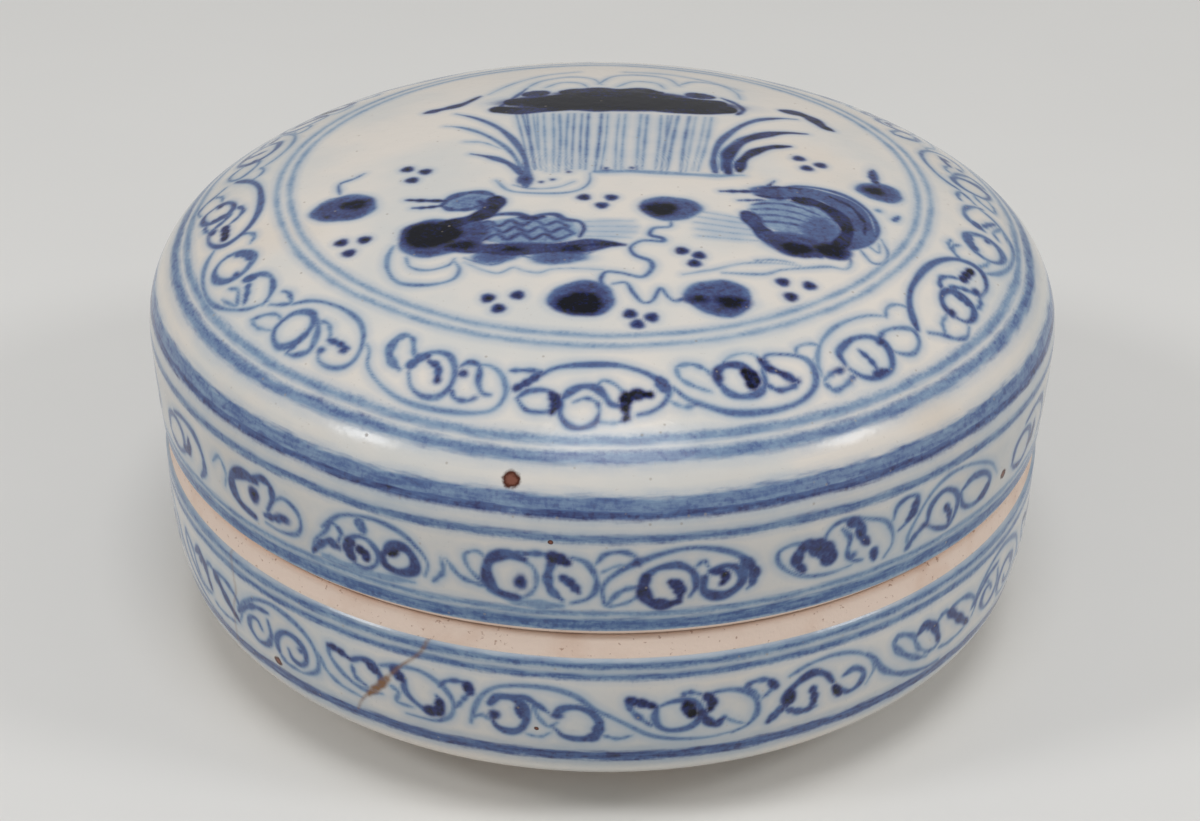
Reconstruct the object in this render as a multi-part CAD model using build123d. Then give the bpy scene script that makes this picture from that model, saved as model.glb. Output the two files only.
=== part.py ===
from build123d import *
import os
from math import hypot

# Round covered porcelain box for seal paste: a domed lid, a footed base that holds it
# on a stepped gallery, and a mound of paste on the floor. Millimetres, +Z up, the
# origin in the middle of the foot's standing face.

# Overall
box_radius = 50.0          # widest place, on the lid's side
base_draw = 0.5            # the base is this much smaller in radius than the lid

# Lid, outside, from the crown down
crown_rise = 2.85          # crown above the edge of the round picture field
shoulder_width = 12.6      # edge of the picture field out to the shoulder ring
shoulder_height = 6.05
shoulder_bulge = 0.6       # how far the shoulder stands out from a straight cone
corner_width = 3.2         # shoulder ring out to the widest place
corner_height = 7.0
side_height = 12.0         # widest place down to the rim's standing face
side_draw = 0.5            # the side draws in by this much at the rim
rim_chamfer = 1.2          # outer edge of the rim, which leaves a dark gap over the bare band
bore_chamfer = 0.4         # inner edge of the rim

# Lid, walls
crown_wall = 3.6
lid_wall = 3.4

# Base, outside, from the table up
foot_height = 2.6
foot_width = 3.4
foot_lean = 0.5            # each face of the foot leans in by this much
foot_chamfer = 0.6
underside_width = 6.6      # foot out to the turn
underside_height = 2.7
underside_bulge = 0.2
turn_width = 3.9           # where the underside turns up into the belly
turn_height = 4.3
turn_bulge = 0.7
belly_draw = 1.0
belly_height = 8.6
wall_height = 4.4          # upright stretch, up to the edge of the glaze
glaze_step = 0.3           # the glaze stands this much proud of the bare band
bare_height = 2.3          # unglazed band under the lid's rim
bare_lean = 0.2
seat_chamfer = 0.3         # outer edge of the seat

# Base, walls
base_wall = 4.2
floor_wall = 4.2
floor_corner_width = 7.0   # inside corner in to the flat of the floor
cavity_bulge = 0.35        # the inside swells by this much below the lip

# Gallery lip, which keeps the lid in the middle
lip_clearance = 0.7        # all round, between the lid's bore and the lip
lip_height = 5.0
lip_wall = 2.6
lip_lean = 0.4
lip_chamfer = 0.6          # both edges of the crest
lip_root_fill = 0.3        # slope where the lip meets the seat

# Seal paste
paste_gap = 1.6            # between the mound and the edge of the floor's flat
paste_edge_height = 4.2
paste_edge_width = 3.6
paste_edge_bulge = 1.0
paste_crown_rise = 4.6


def level_bulge(width, drop):
    """Bulge of a curve that sets out level and drops by this much over this width."""
    return hypot(width, drop) * drop / width / 4


def control_point(start, end, bulge):
    """Corner of the curve's hull: the curve passes halfway between it and the chord."""
    outward = (end - start).rotate(Axis.Z, 90).normalized()
    return (start + end) / 2 + outward * bulge * 2


def outward_normals(points, bulges):
    """Normals, to the left of the walk, at the joints of a run of curves.

    Where two curves meet, the normal is halfway between theirs.
    """
    before = []
    after = []
    for start, end, bulge in zip(points, points[1:], bulges):
        control = control_point(start, end, bulge)
        after.append((control - start).rotate(Axis.Z, 90).normalized())
        before.append((end - control).rotate(Axis.Z, 90).normalized())
    joints = [(b + a).normalized() for b, a in zip(before, after[1:])]
    return [after[0]] + joints + [before[-1]]


def inner_face(points, bulges, walls):
    """The same run of curves, moved in square to itself by the wall at each joint."""
    normals = outward_normals(points, bulges)
    inner_points = [p - n * wall for p, n, wall in zip(points, normals, walls)]
    inner_bulges = []
    for i, bulge in enumerate(bulges):
        outer_chord = (points[i + 1] - points[i]).length
        inner_chord = (inner_points[i + 1] - inner_points[i]).length
        inner_bulges.append(bulge * inner_chord / outer_chord)
    return inner_points, inner_bulges


def split_runs(points, bulges):
    """Split an outline where it changes from curved to straight or back."""
    runs = []
    for start, end, bulge in zip(points, points[1:], bulges):
        if not runs or bool(runs[-1][1][-1]) != bool(bulge):
            runs.append(([start], []))
        runs[-1][0].append(end)
        runs[-1][1].append(bulge)
    return runs


def turn_on_wheel(points, bulges):
    """Solid turned about the Z axis from half its section.

    The outline starts and ends on the axis and keeps the material on its right. Each
    bulge belongs to the stretch from its point to the next: above zero the stretch
    swells out of the material, below zero it is hollow, and zero is straight.
    Curved stretches that follow each other make one smooth curve.
    """
    with BuildPart() as piece:
        with BuildSketch(Plane.XZ):
            with BuildLine():
                for run, run_bulges in split_runs(points, bulges):
                    if any(run_bulges):
                        normals = outward_normals(run, run_bulges)
                        Spline(*run, tangents=[n.rotate(Axis.Z, -90) for n in normals])
                    else:
                        Polyline(*run)
                Line(points[-1], points[0])
            make_face()
        revolve(axis=Axis.Z)
    return piece.part


# Heights above the table, and radii, that more than one piece follows
base_radius = box_radius - base_draw
turn_base = foot_height + underside_height
belly_base = turn_base + turn_height
wall_base = belly_base + belly_height
bare_base = wall_base + wall_height + glaze_step
seat_height = bare_base + bare_height
floor_height = foot_height + floor_wall

# Lid: the outer run of curves goes from the crown down to the rim
widest_height = seat_height + side_height
ring_height = widest_height + corner_height
field_height = ring_height + shoulder_height
crown_height = field_height + crown_rise
ring_radius = box_radius - corner_width
field_radius = ring_radius - shoulder_width
rim_radius = box_radius - side_draw
lid_points = [
    Vector(0, crown_height),
    Vector(field_radius, field_height),
    Vector(ring_radius, ring_height),
    Vector(box_radius, widest_height),
    Vector(rim_radius, seat_height + rim_chamfer),
]
lid_bulges = [
    level_bulge(field_radius, crown_rise),
    shoulder_bulge,
    level_bulge(corner_height, corner_width),
    level_bulge(side_height - rim_chamfer, side_draw),
]
lid_walls = [crown_wall] + [lid_wall] * (len(lid_points) - 1)
lid_inner_points, lid_inner_bulges = inner_face(lid_points, lid_bulges, lid_walls)
bore_radius = lid_inner_points[-1].X

# Inside as outside, the crown sets out level from a point exactly on the axis
lid_inner_points[0] = Vector(0, crown_height - crown_wall)
crown_edge = lid_inner_points[1]
lid_inner_bulges[0] = level_bulge(crown_edge.X, crown_height - crown_wall - crown_edge.Y)

# Base: the outer run goes from the edge of the glaze down to the foot
belly_radius = base_radius - belly_draw
turn_radius = belly_radius - turn_width
foot_top_radius = turn_radius - underside_width
foot_radius = foot_top_radius - foot_lean
foot_bore_radius = foot_radius - foot_width
base_points = [
    Vector(base_radius, bare_base - glaze_step),
    Vector(base_radius, wall_base),
    Vector(belly_radius, belly_base),
    Vector(turn_radius, turn_base),
]
base_bulges = [0, level_bulge(belly_height, belly_draw), turn_bulge]
base_walls = [base_wall] * len(base_points)
base_inner_points, base_inner_bulges = inner_face(base_points, base_bulges, base_walls)
floor_corner = base_inner_points[-1]
floor_radius = floor_corner.X - floor_corner_width

# Lip: it stands inside the lid's bore
lip_radius = bore_radius - lip_clearance
lip_bore_radius = lip_radius - lip_wall
lip_crest_radius = lip_radius - lip_lean
lip_top_height = seat_height + lip_height


def make_lid():
    """Domed lid of even wall, with a flat bare rim, chamfered on its outer edge."""
    rim = [
        Vector(rim_radius - rim_chamfer, seat_height),
        Vector(bore_radius + bore_chamfer, seat_height),
        Vector(bore_radius, seat_height + bore_chamfer),
    ]
    rim_bulges = [0] * (len(rim) + 1)
    inner_bulges = [-bulge for bulge in reversed(lid_inner_bulges)]
    return turn_on_wheel(
        lid_points + rim + lid_inner_points[::-1],
        lid_bulges + rim_bulges + inner_bulges,
    )


def make_base():
    """Bowl on a turned foot ring, with the lid's seat, the bare band and the lip."""
    bare_radius = base_radius - glaze_step
    seat_radius = bare_radius - bare_lean
    inside = [
        Vector(0, floor_height),
        Vector(floor_radius, floor_height),
    ] + base_inner_points[:0:-1]
    inside_bulges = [
        0,
        -level_bulge(floor_corner_width, floor_corner.Y - floor_height),
    ] + [-bulge for bulge in base_inner_bulges[:0:-1]]
    lip = [
        Vector(lip_bore_radius, seat_height),
        Vector(lip_bore_radius, lip_top_height - lip_chamfer),
        Vector(lip_bore_radius + lip_chamfer, lip_top_height),
        Vector(lip_crest_radius - lip_chamfer, lip_top_height),
        Vector(lip_crest_radius, lip_top_height - lip_chamfer),
        Vector(lip_radius, seat_height + lip_root_fill),
    ]
    lip_bulges = [-cavity_bulge] + [0] * (len(lip) - 1)
    seat = [
        Vector(lip_radius + lip_root_fill, seat_height),
        Vector(seat_radius - seat_chamfer, seat_height),
        Vector(seat_radius, seat_height - seat_chamfer),
        Vector(bare_radius, bare_base),
    ]
    seat_bulges = [0] * (len(seat) + 1)
    foot = [
        Vector(foot_top_radius, foot_height),
        Vector(foot_radius, foot_chamfer),
        Vector(foot_radius - foot_chamfer, 0),
        Vector(foot_bore_radius + foot_chamfer, 0),
        Vector(foot_bore_radius, foot_chamfer),
        Vector(foot_bore_radius - foot_lean, foot_height),
        Vector(0, foot_height),
    ]
    foot_bulges = [underside_bulge] + [0] * (len(foot) - 1)
    return turn_on_wheel(
        inside + lip + seat + base_points + foot,
        inside_bulges + lip_bulges + seat_bulges + base_bulges + foot_bulges,
    )


def make_seal_paste():
    """Pressed mound of paste, lying on the flat of the floor."""
    paste_radius = floor_radius - paste_gap
    brow_radius = paste_radius - paste_edge_width
    brow_height = floor_height + paste_edge_height
    return turn_on_wheel(
        [
            Vector(0, brow_height + paste_crown_rise),
            Vector(brow_radius, brow_height),
            Vector(paste_radius, floor_height),
            Vector(0, floor_height),
        ],
        [level_bulge(brow_radius, paste_crown_rise), paste_edge_bulge, 0],
    )


pieces = {
    "lid": make_lid(),
    "base": make_base(),
    "seal_paste": make_seal_paste(),
}
os.makedirs("parts", exist_ok=True)
for name, piece in pieces.items():
    piece.label = name
    export_step(piece, f"parts/{name}.step")
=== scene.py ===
"""Looks for the seal paste box: glazed and painted porcelain, bare clay and red paste.

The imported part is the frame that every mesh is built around. Lengths in the classes are
millimetres, and meshes are in metres. Angles on the box are degrees from the front.
"""

import logging
import math
from dataclasses import dataclass, field
from enum import Enum

import bpy
import numpy as np
from mathutils import Matrix, Vector

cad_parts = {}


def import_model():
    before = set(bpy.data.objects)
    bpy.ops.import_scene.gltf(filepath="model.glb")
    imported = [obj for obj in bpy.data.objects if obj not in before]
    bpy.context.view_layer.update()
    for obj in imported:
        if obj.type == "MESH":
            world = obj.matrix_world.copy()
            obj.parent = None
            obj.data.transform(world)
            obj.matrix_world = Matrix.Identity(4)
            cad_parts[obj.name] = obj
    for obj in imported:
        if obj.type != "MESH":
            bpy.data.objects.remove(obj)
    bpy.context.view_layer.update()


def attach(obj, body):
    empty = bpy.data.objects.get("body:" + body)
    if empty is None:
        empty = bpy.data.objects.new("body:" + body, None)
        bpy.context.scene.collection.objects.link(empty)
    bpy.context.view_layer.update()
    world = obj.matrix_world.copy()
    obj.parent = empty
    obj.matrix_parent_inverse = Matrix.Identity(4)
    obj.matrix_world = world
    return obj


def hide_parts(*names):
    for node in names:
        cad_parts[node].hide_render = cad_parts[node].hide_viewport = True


log = logging.getLogger("seal_paste_box")
MM = 0.001
Point = tuple[float, float]


def level_bulge(width: float, drop: float) -> float:
    """How far a curve swells that sets out level.

    Args:
        width: run of the curve along the way it sets out.
        drop: how far it leaves that way at its end.

    Returns:
        The bulge in millimetres.
    """
    return math.hypot(width, drop) * drop / width / 4


@dataclass(frozen=True)
class Outline:
    """Half section of a turned skin: joints, and how far each stretch swells between them."""

    joints: tuple[Point, ...]
    bulges: tuple[float, ...]

    def walk(self, step: float) -> np.ndarray:
        """Points along the outline with smooth joints.

        Args:
            step: about how far apart the points are, in millimetres.

        Returns:
            An array of radius and height.
        """
        joints = np.array(self.joints)
        tangents = self._tangents(joints)
        points = [joints[:1]]
        for i, (start, end) in enumerate(zip(joints, joints[1:])):
            chord = np.linalg.norm(end - start)
            count = max(1, round(chord / step))
            t = (np.arange(1, count + 1) / count)[:, None]
            out = tangents[i][1] * chord
            home = tangents[i + 1][0] * chord
            points.append(
                (2 * t**3 - 3 * t**2 + 1) * start
                + (t**3 - 2 * t**2 + t) * out
                + (3 * t**2 - 2 * t**3) * end
                + (t**3 - t**2) * home
            )
        return np.concatenate(points)

    def _tangents(self, joints: np.ndarray) -> list[tuple[np.ndarray, np.ndarray]]:
        """Directions in and out at each joint, shared where two curves meet.

        Args:
            joints: the outline's joints.

        Returns:
            For each joint the unit direction in and the unit direction out.
        """
        out = []
        home = []
        for start, end, bulge in zip(joints, joints[1:], self.bulges):
            along = end - start
            left = np.array([-along[1], along[0]]) / np.linalg.norm(along)
            corner = (start + end) / 2 + left * bulge * 2
            out.append((corner - start) / np.linalg.norm(corner - start))
            home.append((end - corner) / np.linalg.norm(end - corner))
        pairs = [(out[0], out[0])]
        for i in range(1, len(out)):
            if self.bulges[i - 1] and self.bulges[i]:
                shared = home[i - 1] + out[i]
                shared /= np.linalg.norm(shared)
                pairs.append((shared, shared))
            else:
                pairs.append((home[i - 1], out[i]))
        return pairs + [(home[-1], home[-1])]


class Spread(Enum):
    """How a piece's surface is laid out flat for its maps."""

    FROM_ABOVE = "from above"
    STRIPS = "strips"
    LEFT_TO_EXPORT = "left to export"


@dataclass(frozen=True)
class Wheel:
    """Turns outlines into meshes about the box's axis.

    Points closer than merge, in metres, become one. The skin is spun over one wedge, which
    is then doubled. The fills are the shares of a map that a piece takes up.
    """

    merge: float = 1e-6
    doublings: int = 3
    strip_count: int = 4
    strip_fill: float = 0.97
    above_fill: float = 1 / 1.01
    seam_reach: float = 0.02

    def turn(self, name: str, points: np.ndarray, steps: int, spread: Spread) -> bpy.types.Object:
        """Turn a walk of points into one skin whose faces point outwards.

        Args:
            name: name of the new object.
            points: radius and height in millimetres, with the material on the walk's right.
            steps: faces round the axis.
            spread: how the skin is laid out flat.

        Returns:
            The new object, with its place in its mesh.
        """
        bpy.ops.object.select_all(action="DESELECT")
        start = Vector((points[0][0] * MM, 0, points[0][1] * MM))
        bpy.ops.mesh.primitive_plane_add(size=MM, location=start)
        piece = bpy.context.object
        piece.name = name
        bpy.ops.object.mode_set(mode="EDIT")
        bpy.ops.mesh.select_mode(type="VERT")
        bpy.ops.mesh.select_all(action="SELECT")
        bpy.ops.mesh.merge(type="CENTER")
        for here, there in zip(points, points[1:]):
            step = Vector(((there[0] - here[0]) * MM, 0, (there[1] - here[1]) * MM))
            bpy.ops.mesh.extrude_region_move(TRANSFORM_OT_translate={"value": step})
        bpy.ops.mesh.select_all(action="SELECT")
        wedge = 2 * math.pi / 2**self.doublings
        bpy.ops.mesh.spin(
            steps=steps // 2**self.doublings, angle=wedge, center=(0, 0, 0), axis=(0, 0, 1)
        )
        for i in range(self.doublings):
            bpy.ops.mesh.select_all(action="SELECT")
            bpy.ops.mesh.duplicate()
            bpy.ops.transform.rotate(
                value=wedge * 2**i, orient_axis="Z", center_override=(0, 0, 0)
            )
        bpy.ops.mesh.select_all(action="SELECT")
        bpy.ops.mesh.remove_doubles(threshold=self.merge)
        bpy.ops.mesh.normals_make_consistent(inside=False)
        bpy.ops.object.mode_set(mode="OBJECT")
        bpy.ops.object.transform_apply(location=True, rotation=True, scale=True)
        self._face_out(piece, points)
        bpy.ops.object.shade_smooth()
        self.lay_flat(piece, spread)
        return piece

    def _face_out(self, piece: bpy.types.Object, points: np.ndarray) -> None:
        """Flip the skin if its faces look into the material.

        Args:
            piece: the turned skin.
            points: its walk, with the material on its right.
        """
        longest = int(np.argmax(np.linalg.norm(np.diff(points, axis=0), axis=1)))
        along = points[longest + 1] - points[longest]
        middle = (points[longest + 1] + points[longest]) / 2 * MM
        faces = piece.data.polygons
        centres = np.empty(len(faces) * 3, np.float32)
        faces.foreach_get("center", centres)
        centres = centres.reshape(-1, 3)
        reach = np.hypot(centres[:, 0], centres[:, 1])
        face = faces[int(np.argmin(np.hypot(reach - middle[0], centres[:, 2] - middle[1])))]
        across = math.atan2(face.center.y, face.center.x)
        outward = Vector((-along[1] * math.cos(across), -along[1] * math.sin(across), along[0]))
        if face.normal.dot(outward) < 0:
            bpy.ops.object.mode_set(mode="EDIT")
            bpy.ops.mesh.select_all(action="SELECT")
            bpy.ops.mesh.flip_normals()
            bpy.ops.object.mode_set(mode="OBJECT")

    def lay_flat(self, piece: bpy.types.Object, spread: Spread) -> None:
        """Give the piece a flat map of its surface.

        Args:
            piece: the piece to lay out.
            spread: seen from above, or cut into strips one above the other.
        """
        if spread is Spread.LEFT_TO_EXPORT:
            return
        mesh = piece.data
        places = read_places(piece)
        corners = np.empty(len(mesh.loops), np.int32)
        mesh.loops.foreach_get("vertex_index", corners)
        if spread is Spread.FROM_ABOVE:
            width = np.abs(places[:, :2]).max() * 2 / self.above_fill
            flat = places[corners, :2] / width + 0.5
        else:
            flat = self._strips(mesh, places, corners)
        layer = mesh.uv_layers.get("OFBake") or mesh.uv_layers.new(name="OFBake")
        layer.data.foreach_set("uv", flat.astype(np.float32).ravel())
        mesh.uv_layers.active = layer

    def _strips(
        self, mesh: bpy.types.Mesh, places: np.ndarray, corners: np.ndarray
    ) -> np.ndarray:
        """Corner places on strips that each take a share of the way round.

        Args:
            mesh: the mesh of a band round the box.
            places: its points in millimetres.
            corners: the point of each face corner.

        Returns:
            An array of corner places between 0 and 1.
        """
        middles = np.empty(len(mesh.polygons) * 3, np.float32)
        mesh.polygons.foreach_get("center", middles)
        middles = middles.reshape(-1, 3)
        sizes = np.empty(len(mesh.polygons), np.int32)
        mesh.polygons.foreach_get("loop_total", sizes)
        share = 2 * math.pi / self.strip_count
        middle_turn = np.arctan2(middles[:, 0], -middles[:, 1]) % (2 * math.pi)
        strip = np.minimum(middle_turn // share, self.strip_count - 1)
        strip = np.repeat(strip, sizes)
        middle_turn = np.repeat(middle_turn, sizes)
        turn = np.arctan2(places[corners, 0], -places[corners, 1])
        turn = middle_turn + (turn - middle_turn + math.pi) % (2 * math.pi) - math.pi
        low = places[:, 2].min()
        high = places[:, 2].max()
        rise = (places[corners, 2] - low) / (high - low)
        margin = (1 - self.strip_fill) / 2
        across = margin + (turn / share - strip) * self.strip_fill
        up = (strip + margin + rise * self.strip_fill) / self.strip_count
        return np.stack([across, up], axis=1)

    def join(
        self, name: str, inner: bpy.types.Object, outer: bpy.types.Object, radius: float
    ) -> bpy.types.Object:
        """Join a disc to a ring that has twice its steps.

        Args:
            name: name of the joined piece.
            inner: the disc.
            outer: the ring round it.
            radius: where they meet, in millimetres.

        Returns:
            The joined piece.
        """
        bpy.ops.object.select_all(action="DESELECT")
        bpy.context.view_layer.objects.active = inner
        inner.select_set(True)
        bpy.ops.object.mode_set(mode="EDIT")
        bpy.ops.mesh.select_all(action="DESELECT")
        bpy.ops.object.mode_set(mode="OBJECT")
        for edge in inner.data.edges:
            ends = [inner.data.vertices[i].co for i in edge.vertices]
            gaps = [abs(math.hypot(end.x, end.y) / MM - radius) for end in ends]
            edge.select = max(gaps) < self.seam_reach
        bpy.ops.object.mode_set(mode="EDIT")
        bpy.ops.mesh.select_mode(type="EDGE")
        bpy.ops.mesh.subdivide(number_cuts=1)
        bpy.ops.mesh.select_mode(type="VERT")
        bpy.ops.object.mode_set(mode="OBJECT")
        outer.select_set(True)
        bpy.ops.object.join()
        bpy.ops.object.mode_set(mode="EDIT")
        bpy.ops.mesh.select_all(action="SELECT")
        bpy.ops.mesh.remove_doubles(threshold=self.merge)
        bpy.ops.mesh.normals_make_consistent(inside=False)
        bpy.ops.object.mode_set(mode="OBJECT")
        if inner.data.polygons[0].normal.z < 0:
            bpy.ops.object.mode_set(mode="EDIT")
            bpy.ops.mesh.select_all(action="SELECT")
            bpy.ops.mesh.flip_normals()
            bpy.ops.object.mode_set(mode="OBJECT")
        bpy.ops.object.shade_smooth()
        inner.name = name
        return inner


def read_places(piece: bpy.types.Object) -> np.ndarray:
    """Where a piece's points are.

    Args:
        piece: the piece to read.

    Returns:
        An array of x, y and z in millimetres.
    """
    places = np.empty(len(piece.data.vertices) * 3, np.float32)
    piece.data.vertices.foreach_get("co", places)
    return places.reshape(-1, 3).astype(float) / MM


class Layer(Enum):
    """What a mark of the brush lays."""

    INK = "ink"
    WASH = "wash"
    STAIN = "stain"


@dataclass(frozen=True)
class Sheet:
    """Flat sheet that a painting is laid out on, and how its numbers become millimetres."""

    across: float = 1.0
    up: float = 1.0
    goes_round: bool = False

    def about(self, spots: np.ndarray, middle: float) -> np.ndarray:
        """Places in millimetres, with across counted from a middle.

        Args:
            spots: places in the sheet's own numbers.
            middle: where across is zero, in the sheet's own numbers.

        Returns:
            An array of places.
        """
        away = spots[:, 0] - middle
        if self.goes_round:
            away = (away + 180) % 360 - 180
        return np.stack([away * self.across, spots[:, 1] * self.up], axis=1)


@dataclass(frozen=True)
class Hand:
    """How a painter's hand leads the brush, in shares of its width, its way and its load."""

    touch: float = 0.72
    swell: float = 3.0
    lift_from: float = 0.7
    shake: float = 0.14
    shakes: float = 17.0
    shake_start: float = 40.0
    steady: float = 0.94
    pool_from: float = 0.75
    pool: float = 0.1
    pulse: float = 0.05
    pulses: float = 23.0


HAND = Hand()


@dataclass(frozen=True)
class Stroke:
    """One pull of the brush.

    The path lists points as "x,y x,y" in the sheet's own numbers. The width is in
    millimetres, the load is how much colour is laid, from 0 to 1, and the tip is the share
    of the width left where the brush lifts.
    """

    path: str
    width: float
    load: float
    tip: float = 0.6
    layer: Layer = Layer.INK

    def points(self) -> np.ndarray:
        """The path's points."""
        return np.array([[float(n) for n in point.split(",")] for point in self.path.split()])

    def middle(self) -> float:
        """Where the stroke is across its sheet."""
        return float(self.points()[:, 0].mean())

    def measure(self, spots: np.ndarray, sheet: Sheet) -> tuple[np.ndarray, np.ndarray]:
        """How far places are from the stroke's edge, and its load there.

        Args:
            spots: places in millimetres, about the stroke's middle.
            sheet: the sheet it is painted on.

        Returns:
            The gap to the edge, below zero inside, and the load.
        """
        line = smooth_path(sheet.about(self.points(), self.middle()))
        share = np.linspace(0, 1, len(line))
        half = self.width / 2 * np.minimum(1, HAND.touch + share * HAND.swell)
        lifted = np.clip((share - HAND.lift_from) / (1 - HAND.lift_from), 0, 1)
        half *= 1 - (1 - self.tip) * lifted
        half *= 1 + HAND.shake * np.sin(share * HAND.shakes + self.load * HAND.shake_start)
        start = line[:-1]
        along = line[1:] - start
        from_start = spots[:, None] - start
        t = (from_start * along).sum(-1) / np.maximum((along**2).sum(-1), 1e-9)
        t = np.clip(t, 0, 1)
        away = np.linalg.norm(from_start - t[..., None] * along, axis=-1)
        gaps = away - (half[:-1] + t * (half[1:] - half[:-1]))
        nearest = gaps.argmin(axis=1)
        here = share[nearest]
        pooled = HAND.pool * np.clip((here - HAND.pool_from) / (1 - HAND.pool_from), 0, 1)
        laid = HAND.steady + pooled + HAND.pulse * np.cos(here * HAND.pulses)
        return gaps[np.arange(len(spots)), nearest], self.load * laid

    def reach(self, sheet: Sheet) -> tuple[np.ndarray, np.ndarray]:
        """Room that the stroke takes up, about its middle.

        Args:
            sheet: the sheet it is painted on.

        Returns:
            Its lowest and its highest corner in millimetres.
        """
        line = sheet.about(self.points(), self.middle())
        return line.min(0) - self.width, line.max(0) + self.width


@dataclass(frozen=True)
class Patch:
    """An oval set down with the side of the brush.

    Its middle and half sizes are in the sheet's own numbers, so on a band round the box its
    half width is in degrees.
    """

    x: float
    y: float
    half_wide: float
    half_high: float
    load: float
    layer: Layer = Layer.INK

    def middle(self) -> float:
        """Where the patch is across its sheet."""
        return self.x

    def measure(self, spots: np.ndarray, sheet: Sheet) -> tuple[np.ndarray, np.ndarray]:
        """How far places are from the patch's edge, and its load there.

        Args:
            spots: places in millimetres, about the patch's middle.
            sheet: the sheet it is painted on.

        Returns:
            The gap to the edge, below zero inside, and the load.
        """
        half = np.array([self.half_wide * sheet.across, self.half_high * sheet.up])
        away = (spots - np.array([0, self.y * sheet.up])) / half
        far = np.hypot(away[:, 0], away[:, 1])
        around = np.arctan2(away[:, 1], away[:, 0])
        ragged = 1 + 0.05 * np.sin(around * 3 + self.x) + 0.015 * np.sin(around * 7 + self.y)
        return (far - ragged) * half.min(), np.full(len(spots), self.load)

    def reach(self, sheet: Sheet) -> tuple[np.ndarray, np.ndarray]:
        """Room that the patch takes up, about its middle.

        Args:
            sheet: the sheet it is painted on.

        Returns:
            Its lowest and its highest corner in millimetres.
        """
        half = np.array([self.half_wide * sheet.across, self.half_high * sheet.up]) * 1.2
        middle = np.array([0, self.y * sheet.up])
        return middle - half, middle + half


Mark = Stroke | Patch


def smooth_path(points: np.ndarray, cuts: int = 6) -> np.ndarray:
    """A smooth line through points.

    Args:
        points: the points it goes through.
        cuts: how many pieces lie between two of them.

    Returns:
        The line's points.
    """
    ends = np.concatenate([2 * points[:1] - points[1:2], points, 2 * points[-1:] - points[-2:-1]])
    t = (np.arange(cuts) / cuts)[:, None]
    line = []
    for before, start, end, after in zip(ends, ends[1:], ends[2:], ends[3:]):
        line.append(
            start
            + t * (end - before) / 2
            + t**2 * (before - 2.5 * start + 2 * end - after / 2)
            + t**3 * (1.5 * (start - end) + (after - before) / 2)
        )
    return np.concatenate(line + [points[-1:]])


def dots(places: str, half: float = 0.82) -> tuple[Patch, ...]:
    """Round dots of full ink.

    Args:
        places: their middles, as "x,y x,y".
        half: half their width in millimetres.

    Returns:
        The dots.
    """
    middles = [[float(n) for n in place.split(",")] for place in places.split()]
    return tuple(Patch(x, y, half, half, 1.0) for x, y in middles)


def stalks(
    places: str, top: float = 13.4, foot: float = -2.4, split: float = 0.36
) -> tuple[Stroke, ...]:
    """Upright stalks of the reed clump, each a pair of hairs that waver a little.

    Args:
        places: where each is at its top and its foot, as "top,foot top,foot".
        top: how far back they reach.
        foot: how far forward they reach.
        split: how far each hair is from the stalk's middle.

    Returns:
        Their strokes.
    """
    strokes = []
    for i, place in enumerate(places.split()):
        high, low = (float(n) for n in place.split(","))
        bow = (high + low) / 2 + 0.12 * math.cos(i * 2.1)
        for side in (-split, split):
            base = foot + 0.5 * math.sin(i * 1.7 + side)
            path = f"{high + side},{top} {bow + side},{(top + foot) / 2} {low + side * 0.8},{base}"
            width = 0.58 + 0.1 * math.sin(i * 2.6 + side * 3)
            strokes.append(Stroke(path, width, 0.46 + 0.1 * math.cos(i * 1.3 + side * 2)))
    return tuple(strokes)


@dataclass(frozen=True)
class Copy:
    """A stretch of a vine painted again further round: turn in degrees, and which marks."""

    turn: float
    first: float = -180.0
    last: float = 180.0


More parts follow.
